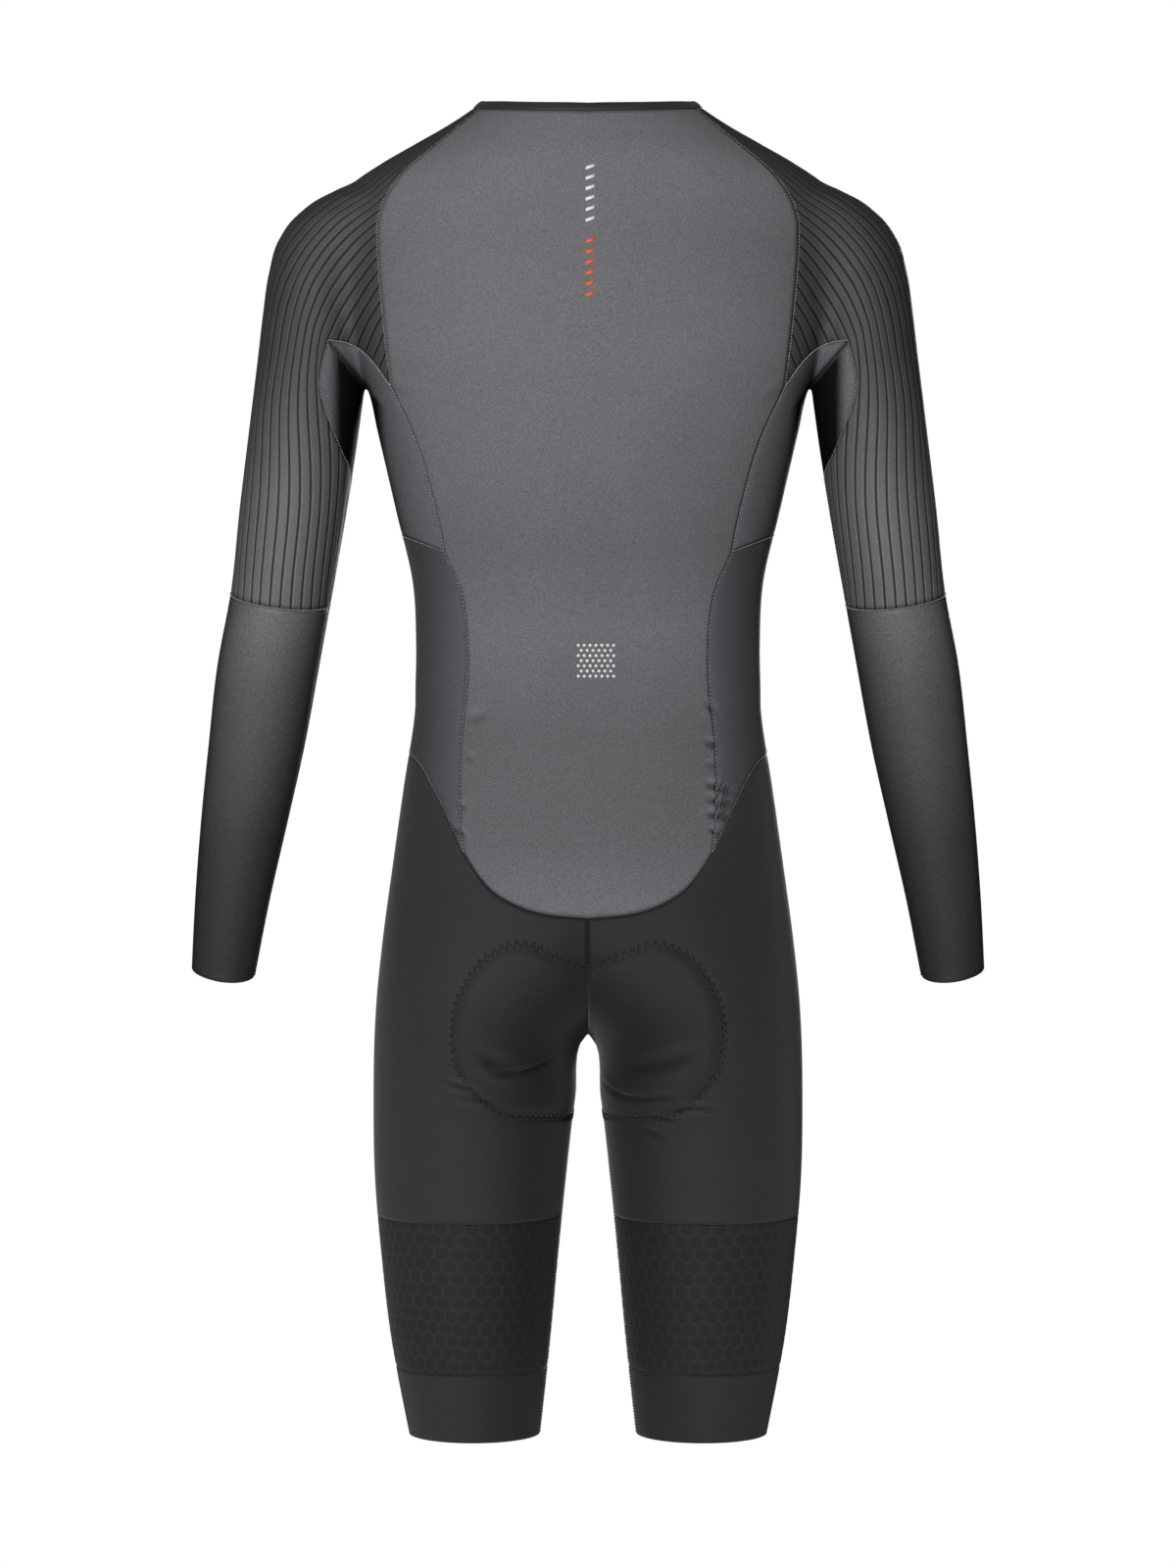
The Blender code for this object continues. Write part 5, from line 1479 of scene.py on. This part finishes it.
def cell_wall(round_mm, down_mm):
    """1 on the border between two cells of a honeycomb, 0 inside a cell."""
    size = np.array([1.0, math.sqrt(3)]) * CELL
    wander = 1.1 * np.sin(round_mm / 13.0) * np.sin(down_mm / 17.0)  # a knit is never quite even
    place = np.stack([round_mm + wander, down_mm + 0.8 * np.sin(round_mm / 19.0)], axis=-1)
    first = place % size - size / 2
    second = (place - size / 2) % size - size / 2
    nearer = (first**2).sum(-1) < (second**2).sum(-1)
    inside = np.abs(np.where(nearer[..., None], first, second))
    reach = np.maximum(inside[..., 0], inside @ np.array([0.5, math.sqrt(3) / 2]))
    return np.clip((reach - (CELL / 2 - WALL_HALF)) / WALL_SOFT, 0, 1)


# %% Rings of cloth round the leg
def ring_grid(top, low, cells, around):
    turn, rows = np.meshgrid(np.linspace(180, -180, around + 1), np.linspace(top, low, cells + 1))
    return LEG.place(turn, rows)


def round_and_down(grid):
    """Millimetres round a ring of cloth and down it, for each of its points."""
    steps = np.linalg.norm(np.diff(grid, axis=1), axis=-1).mean(axis=0)
    across = np.concatenate([[0], np.cumsum(steps)]) / MM
    return np.broadcast_to(across, grid.shape[:2]).ravel(), -grid[..., 2].ravel() / MM


def band_paint(grid):
    return {"cell_wall": cell_wall(*round_and_down(grid))}


BAND_CELLS, BAND_ROUND = 78, 312
band_grid = ring_grid(BAND_TOP_DOWN, HEM_TOP_DOWN, BAND_CELLS, BAND_ROUND)
CELL_RISE = 0.35 * MM


def cell_relief(points):
    return -CELL_RISE * cell_wall(*round_and_down(points.reshape(band_grid.shape)))


leg_line = [LEG.place(np.full(60, 180.0), np.linspace(BAND_TOP_DOWN, HEM_DOWN, 60))]
band_seams = [*leg_line, band_grid[0], band_grid[-1]]
both_sides(
    "grip_band", band_grid, band.material, band_seams, leg_shade, cell_relief, band_paint
)

# %% Twill hem band
HEM_CELLS, HEM_ROUND = 24, 220
hem_grid = ring_grid(HEM_TOP_DOWN, HEM_DOWN, HEM_CELLS, HEM_ROUND)


TWILL_SLANT = (0.62, 0.78)


def hem_paint(grid):
    across, down_mm = round_and_down(grid)
    return {"twill": across * TWILL_SLANT[0] + down_mm * TWILL_SLANT[1]}


hem_seams = [*leg_line, hem_grid[0]]
both_sides(
    "hem_band", hem_grid, hem.material, hem_seams, leg_shade, None, hem_paint
)

# %% [markdown]
# ## Collar
# A soft binding finishes the neckline: a folded strip, thicker than the panels, with a low ridge along
# its seam. It is a grid of a few rows between the neck seam and the open edge, and the relief rounds it.

# %% Collar band
edge_line = join(*[at["neck_edge" + part] for part in ("_back", "_shoulder", "_front")])
seam_line = join(*[at["neck_seam" + part] for part in ("_back", "_shoulder", "_front")])
edge_line, seam_line = [join(mirrored(line)[::-1], line) for line in (edge_line, seam_line)]
COLLAR_ROWS, COLLAR_ROUND, COLLAR_THICK = 8, 0.7 * MM, 1.2 * MM
share = np.linspace(0, 1, COLLAR_ROWS + 1)[:, None, None]
collar_grid = settle(edge_line[None] * (1 - share) + seam_line[None] * share)


def collar_relief(points):
    across = np.repeat(np.linspace(0, 1, COLLAR_ROWS + 1), collar_grid.shape[1])
    return COLLAR_ROUND * np.sin(math.pi * across) ** 0.6


collar_piece = cloth(
    "collar_cloth", collar_grid, collar_knit, [seam_line], plain_shade, collar_relief
)
collar_piece.modifiers["thickness"].thickness = COLLAR_THICK
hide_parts("collar")

# %% [markdown]
# ## Stitches
# The seams are flat: a machine binds the two edges side by side and a pale thread shows as a fine broken
# line. Each stitch is a short thread that bows up out of the cloth. One small shape is repeated along
# every seam, all in one mesh, which keeps hundreds of stitches light and lets them follow the cloth.

# %% One row of stitches
thread = speckled("pale_thread", (0.30, 0.30, 0.31), 0.6, 0.7, 1.2, 400)
dark_thread = speckled("dark_thread", (0.055, 0.056, 0.060), 0.55, 0.7, 1.2, 400)
black_thread = Nodes("black_thread")
black_thread.shader.inputs["Base Color"].default_value = (0.008, 0.008, 0.009, 1)
black_thread.shader.inputs["Roughness"].default_value = 0.5
THREAD_SIDES = 5
# Along a stitch: how far, how thick and how high, as shares of its length, radius and lift.
THREAD_RINGS = ((0, 0.35, -0.5), (0.25, 0.9, 0.8), (0.75, 0.9, 0.8), (1, 0.35, -0.5))
LEAST_FILL, MOST_FILL = 0.75, 1.15


def stitch_row(line, pitch, radius, fill=0.72, lift=0.25 * MM, seed=0):
    """Points and faces of the stitches along a line on the form."""
    ends = evenly(line, max(2, int(length_of(line) / pitch)))
    random = np.random.default_rng(seed)
    points, faces = [], []
    for a, b in zip(ends[:-1], ends[1:]):
        gap = (1 - fill * random.uniform(LEAST_FILL, MOST_FILL)) / 2
        first, last = a + (b - a) * gap, b - (b - a) * gap
        along = (b - a) / np.linalg.norm(b - a)
        up = outward(((a + b) / 2)[None])[0]
        aside = np.cross(along, up)
        base = len(points)
        for share, size, high in THREAD_RINGS:
            middle = first + (last - first) * share + up * lift * high
            for k in range(THREAD_SIDES):
                turn = 2 * math.pi * k / THREAD_SIDES
                way = math.cos(turn) * aside + math.sin(turn) * up
                points.append(middle + radius * size * way)
        for ring in range(len(THREAD_RINGS) - 1):
            for k in range(THREAD_SIDES):
                j = (k + 1) % THREAD_SIDES
                low, high = base + ring * THREAD_SIDES, base + (ring + 1) * THREAD_SIDES
                faces.append((low + k, low + j, high + j, high + k))
        faces.append(tuple(base + k for k in reversed(range(THREAD_SIDES))))
        faces.append(tuple(base + 3 * THREAD_SIDES + k for k in range(THREAD_SIDES)))
    return points, faces


# %% Many stitches as one piece
def gathered(rows):
    """The points and faces of several rows as one."""
    points, faces = [], []
    for row_points, row_faces in rows:
        base = len(points)
        points += row_points
        faces += [tuple(base + i for i in face) for face in row_faces]
    return points, faces


def stitches(name, rows, finish):
    """One piece from several rows of stitches, or of other small closed shapes."""
    points, faces = gathered(rows)
    make_piece(name, points, faces, finish.material)


# %% Stitches along the seams
PALE_SEAMS = (  # seam, pitch in mm, thread radius in mm, share of the pitch that shows
    ("raglan_back", 2.4, 0.34, 0.70),
    ("raglan_front", 2.4, 0.34, 0.70),
    ("side_back", 2.6, 0.34, 0.66),
    ("side_front", 2.6, 0.34, 0.66),
    ("waist_back", 3.0, 0.30, 0.60),
    ("waist_front", 3.0, 0.30, 0.60),
    ("panel_cut", 2.2, 0.36, 0.85),
    ("armpit_back", 2.0, 0.50, 0.98),
    ("armpit_front", 2.0, 0.50, 0.98),
    ("inner_arm_back", 2.4, 0.32, 0.75),
    ("inner_arm_front", 2.4, 0.32, 0.75),
    ("elbow", 2.2, 0.42, 0.92),
    ("hip", 2.6, 0.26, 0.70),
)
DARK_SEAMS = (
    ("inside_arm", 2.4, 0.3, 0.8),
    ("inside_forearm", 2.4, 0.3, 0.8),
    ("inner_leg", 2.4, 0.3, 0.8),
    ("middle_back", 2.6, 0.26, 0.8),
    ("middle_front", 2.6, 0.26, 0.8),
    ("tail", 2.4, 0.28, 0.8),
    ("belly", 2.4, 0.28, 0.8),
)
DARK_SEED, LEG_SEED = 50, 70
LEG_PITCH, LEG_THREAD, LEG_FILL = 2.4 * MM, 0.3 * MM, 0.8


def seam_rows(table, seed):
    return [
        stitch_row(turned(at[key]), pitch * MM, radius * MM, fill, seed=seed + i)
        for i, (key, pitch, radius, fill) in enumerate(table)
        for _, turned in SIDES
    ]


stitches("seam_stitches", seam_rows(PALE_SEAMS, 0), thread)
dark_rows = seam_rows(DARK_SEAMS, DARK_SEED)
for i, (_, turned) in enumerate(SIDES):
    leg_row = stitch_row(turned(leg_line[0]), LEG_PITCH, LEG_THREAD, LEG_FILL, seed=LEG_SEED + i)
    dark_rows.append(leg_row)
stitches("dark_stitches", dark_rows, dark_thread)

# %% [markdown]
# ## The zigzag round the pad
# The pad is held by a wide zigzag, which shows through as a ring of small slanting stitches that pucker
# the cloth. The same thread shape is laid from side to side of the pad's edge line.

# %% Zigzag stitches
ZIGZAG_PITCH, ZIGZAG_HALF = 3.0 * MM, 3.0 * MM
ZIGZAG_THREAD, ZIGZAG_FILL, ZIGZAG_LIFT = 0.62 * MM, 0.95, 0.4 * MM


def zigzag_row(line, seed):
    count = int(length_of(line) / ZIGZAG_PITCH)
    places = evenly(line, count)
    along = np.gradient(places, axis=0)
    up = outward(places)
    aside = np.cross(along, up)
    aside /= np.linalg.norm(aside, axis=-1, keepdims=True)
    sway = np.where(np.arange(count + 1) % 2, 1, -1)[:, None] * ZIGZAG_HALF
    corners = settle(places + aside * sway)
    shape = (2 * ZIGZAG_HALF, ZIGZAG_THREAD, ZIGZAG_FILL, ZIGZAG_LIFT, seed)
    return gathered(stitch_row(np.stack(ends), *shape) for ends in zip(corners[:-1], corners[1:]))


zigzag_rows = [zigzag_row(pad_edge, 5), zigzag_row(mirrored(pad_edge), 6)]
stitches("pad_zigzag", zigzag_rows, black_thread)

# %% [markdown]
# ## The pad
# Inside the shorts lies a foam pad, thick in the middle and thin at its stitched edge. It only shows
# through the leg openings, so it is a plain soft form: a grid over the pad's outline, lofted between
# the two seams of the crotch, with the foam's thickness swelling from the rim.

# %% Foam pad
FOAM_OUTLINE = (  # angle round the leg, distance down: 180 is the inside of the leg
    (113, 634), (98, 652), (88, 680), (86, 712), (91, 744), (106, 762), (128, 767), (180, 768),
    *PAD_INSIDE,
)
PAD_SINK, PAD_TOP_DOWN = 5.2 * MM, 652 * MM
PAD_LONG, PAD_WIDE = 70, 24
middle = evenly(middle_line[-middle_line[:, 2] > PAD_TOP_DOWN], PAD_LONG)
places = curve(np.array(FOAM_OUTLINE, float) * [1, MM], 300)
edge = evenly(LEG.place(places[:, 0], places[:, 1]), PAD_LONG)
share = np.linspace(0, 1, PAD_WIDE + 1)[:, None, None]
middle_places = read_edge(LEG, middle, None, 180)
edge_places = read_edge(LEG, edge, None, 180)
pad_grid = middle_places + (edge_places - middle_places) * share
pad_half = LEG.place(pad_grid[..., 0], pad_grid[..., 1])
pad_half[0] = middle
pad_full = np.vstack([mirrored(pad_half)[:0:-1], pad_half])
flat_pad = pad_full.reshape(-1, 3)
rows, across = pad_full.shape[:2]
u, v = np.meshgrid(np.linspace(0, 1, across), np.linspace(-1, 1, rows))
swell = (1 - np.abs(v) ** 3) * (1 - np.abs(2 * u - 1) ** 4)
channel = np.exp(-((v / 0.05) ** 2)) + np.exp(-(((np.abs(v) - 0.5) / 0.04) ** 2))
FOAM_RIM, FOAM_SWELL, FOAM_CHANNEL = 2.0, 5.5, 1.2  # mm
thickness = (FOAM_RIM + FOAM_SWELL * swell - FOAM_CHANNEL * channel * swell) * MM
normal = outward(flat_pad)
skin = flat_pad - normal * PAD_SINK
under = skin - normal * thickness.reshape(-1, 1)
faces = facing_out(flat_pad, grid_faces(rows, across))
count = len(flat_pad)
index = np.arange(count).reshape(rows, across)
rim = np.concatenate([index[0], index[1:, -1], index[-1, -2::-1], index[-2:0:-1, 0]])
walls = [(a, b, b + count, a + count) for a, b in zip(rim, np.roll(rim, -1))]
all_faces = faces.tolist() + (faces[:, ::-1] + count).tolist() + walls
painted = {"shade": np.ones(2 * count)}
pad = make_piece("pad_foam", np.vstack([skin, under]), all_faces, pad_knit, painted)
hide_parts("chamois")
print("pad", (thickness.min() / MM).round(1), "to", (thickness.max() / MM).round(1), "mm thick")

# %% [markdown]
# ## The front zip
# The zip is not in the photograph, but every such suit has one: two woven tapes under the edges of the
# front panels, a chain of coil teeth, a slider at the collar and a pull tab that swings. Slider and tab
# are the model's own parts. The tapes are sheets, and the coil is one small tooth repeated.

# %% Tapes
tape_cloth = speckled(
    "zip_tape_cloth", (0.016, 0.016, 0.017), 0.7, 0.7, 1.4, 1500, 1.0, (1, 1, 0.4)
)
tape_cloth.put(tape_cloth.shader.inputs["Normal"], tape_cloth.bump(tape_cloth.specks, 0.5))
zip_line = join(at["neck_edge_front"][-1:], at["zip"])
TAPE_CELLS, TAPE_SINK = 5, 0.9 * MM
share = np.linspace(-1, 1, 2 * TAPE_CELLS + 1)
tape_grid = np.repeat(zip_line[:, None], len(share), axis=1)
tape_grid[..., 0] = zip_line[:, :1] * share
tape_grid = settle(tape_grid)


def tape_relief(points):
    return np.full(len(points), -TAPE_SINK)


tape = cloth(
    "zip_tape", tape_grid, tape_cloth.material, [], plain_shade, tape_relief
)
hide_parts("zip")

# %% Coil teeth
coil_plastic = speckled("coil_plastic", (0.020, 0.020, 0.021), 0.4, 0.8, 1.2, 600)
middle_of_zip = settle(zip_line * [0, 1, 1])
TOOTH_PITCH = 1.5 * MM
TOOTH_THICK = 0.5
# Across a tooth, in millimetres: out from the middle, how high, and half its width along the zip.
TOOTH_RINGS = (
    (-0.9, -0.55, 0.35), (-0.7, 0.1, 0.42), (0.4, 0.35, 0.45), (1.7, 0.1, 0.42), (2.1, -0.6, 0.35)
)
tooth_places = evenly(middle_of_zip, int(length_of(middle_of_zip) / TOOTH_PITCH))
tooth_along = np.gradient(tooth_places, axis=0)
tooth_along /= np.linalg.norm(tooth_along, axis=-1, keepdims=True)
tooth_up = outward(tooth_places)
teeth_points, teeth_faces = [], []
for i, (place, along, up) in enumerate(zip(tooth_places, tooth_along, tooth_up)):
    side = 1 if i % 2 else -1
    base = len(teeth_points)
    for out_mm, high_mm, half in TOOTH_RINGS:
        aside = np.array([side * out_mm, 0, 0]) * MM
        for end in (-half, half):
            for high in (high_mm, high_mm - TOOTH_THICK):
                teeth_points.append(place + aside + up * high * MM + along * end * MM)
    for ring in range(4):
        low, high = base + 4 * ring, base + 4 * ring + 4
        for a, b in ((0, 1), (1, 3), (3, 2), (2, 0)):
            teeth_faces.append((low + a, low + b, high + b, high + a))
    teeth_faces.append((base, base + 2, base + 3, base + 1))
    teeth_faces.append((base + 16, base + 17, base + 19, base + 18))
stitches("zip_coil", [(teeth_points, teeth_faces)], coil_plastic)

# %% Slider and pull tab
metal = speckled("black_metal", (0.045, 0.045, 0.047), 0.38, 0.85, 1.15, 300, 3.0)
metal.put(metal.shader.inputs["Normal"], metal.bump(metal.noise(900), 0.15, 0.0001))
metal.shader.inputs["Metallic"].default_value = 0.6
for name in ("zip_slider", "zip_pull"):
    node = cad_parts[name]
    if not node.material_slots:
        node.data.materials.append(metal.material)
    for material_slot in node.material_slots:
        material_slot.material = metal.material
    print(name, "is", metal.material.name)

# %% [markdown]
# ## Printed marks
# The back carries a small slanted mark below the neck and a reflective patch at the waist. Here both
# are plain: a row of slanted dashes in white and orange, and a patch of small white dots. Each is a
# very thin film laid a hair above the cloth, as a heat transfer print is.

# %% Films laid on the back
FILM_ABOVE, FILM_BELOW = 0.16 * MM, 0.1 * MM
white_print = speckled("white_print", (0.82, 0.82, 0.82), 0.5, 0.94, 1.04, 1500)
orange_print = speckled("orange_print", (0.80, 0.13, 0.02), 0.5, 0.94, 1.04, 1500)


def film_piece(name, outlines, film):
    """Flat shapes, each an outline of places (out, down) in mm on the back, laid on the cloth."""
    points, faces = [], []
    for outline in outlines:
        outline = np.array(outline, float) * MM
        top_skin = project(outline[:, 0], outline[:, 1], True)
        up = outward(top_skin)
        base, count = len(points), len(outline)
        points += list(top_skin + up * FILM_ABOVE) + list(top_skin - up * FILM_BELOW)
        faces.append(tuple(base + i for i in range(count)))
        faces.append(tuple(base + count + i for i in reversed(range(count))))
        for i in range(count):
            j = (i + 1) % count
            faces.append((base + j, base + i, base + count + i, base + count + j))
    stitches(name, [(points, faces)], film)


# %% Dashes and dots
def dash(down, out=-1.5, width=6.5, tall=2.4, slant=1.2):
    return (
        (out - width / 2, down - slant), (out + width / 2, down + slant),
        (out + width / 2, down + slant + tall), (out - width / 2, down - slant + tall),
    )


DASHES, DASH_STEP, WHITE_TOP, ORANGE_TOP = 6, 8, 56, 112
for name, film, top in (
    ("white_dashes", white_print, WHITE_TOP),
    ("orange_dashes", orange_print, ORANGE_TOP),
):
    film_piece(name, [dash(top + DASH_STEP * i) for i in range(DASHES)], film)


def dot(out, down, radius=1.15, sides=12):
    turns = [2 * math.pi * i / sides for i in range(sides)]
    return [(out + radius * math.cos(t), down + radius * math.sin(t)) for t in turns]


DOT_STEP, DOT_ROW, DOTS = 4.4, 0.87, 7  # mm apart, share of that from row to row, and in a row
PATCH_OUT, PATCH_DOWN = -6, 424
dots = []
for j in range(DOTS):
    for i in range(DOTS - j % 2):
        out = PATCH_OUT + (i - DOTS // 2) * DOT_STEP + (j % 2) * DOT_STEP / 2
        dots.append(dot(out, PATCH_DOWN + (j - DOTS // 2) * DOT_STEP * DOT_ROW))
film_piece("dot_patch", dots, white_print)

# %% [markdown]
# ## The cut size of each sheet, and finish
# For every sheet of cloth the size that it is cut to, before it is sewn and filled out, is printed.

# %% Flat sizes and the bounds of the suit
CUT = 0.9  # every length is cut a tenth smaller than it is filled out
SHEETS = (  # piece, its filled-out width and length in millimetres, and what it hangs from
    ("collar_cloth", 545, 14, ("sleeve_upper_left_cloth", "sleeve_upper_right_cloth")),
    ("back_cloth", 350, 610, ("collar_cloth",)),
    ("front_SIDE_cloth", 165, 440, ("collar_cloth",)),
    ("underarm_SIDE_cloth", 180, 250, ("sleeve_upper_SIDE_cloth",)),
    ("side_lower_SIDE_cloth", 180, 245, ("underarm_SIDE_cloth",)),
    ("sleeve_upper_SIDE_cloth", 350, 453, ("collar_cloth",)),
    ("sleeve_lower_SIDE_cloth", 255, 325, ("sleeve_upper_SIDE_cloth",)),
    ("short_SIDE_cloth", 520, 365, ("back_cloth", "side_lower_SIDE_cloth")),
    ("grip_band_SIDE_cloth", 470, 116, ("short_SIDE_cloth",)),
    ("hem_band_SIDE_cloth", 385, 53, ("grip_band_SIDE_cloth",)),
    ("zip_tape", 11.6, 400, ("collar_cloth",)),
)
for pattern, width, length, rests_on in SHEETS:
    for side in ("left", "right") if "SIDE" in pattern else ("",):
        name = pattern.replace("SIDE", side)
        area = made_areas[name] * CUT**2
        share = area / (width * length * (CUT * MM) ** 2)
        print(name, "cut", round(width * CUT), "by", round(length * CUT), "mm, share", round(share, 2))

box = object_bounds()
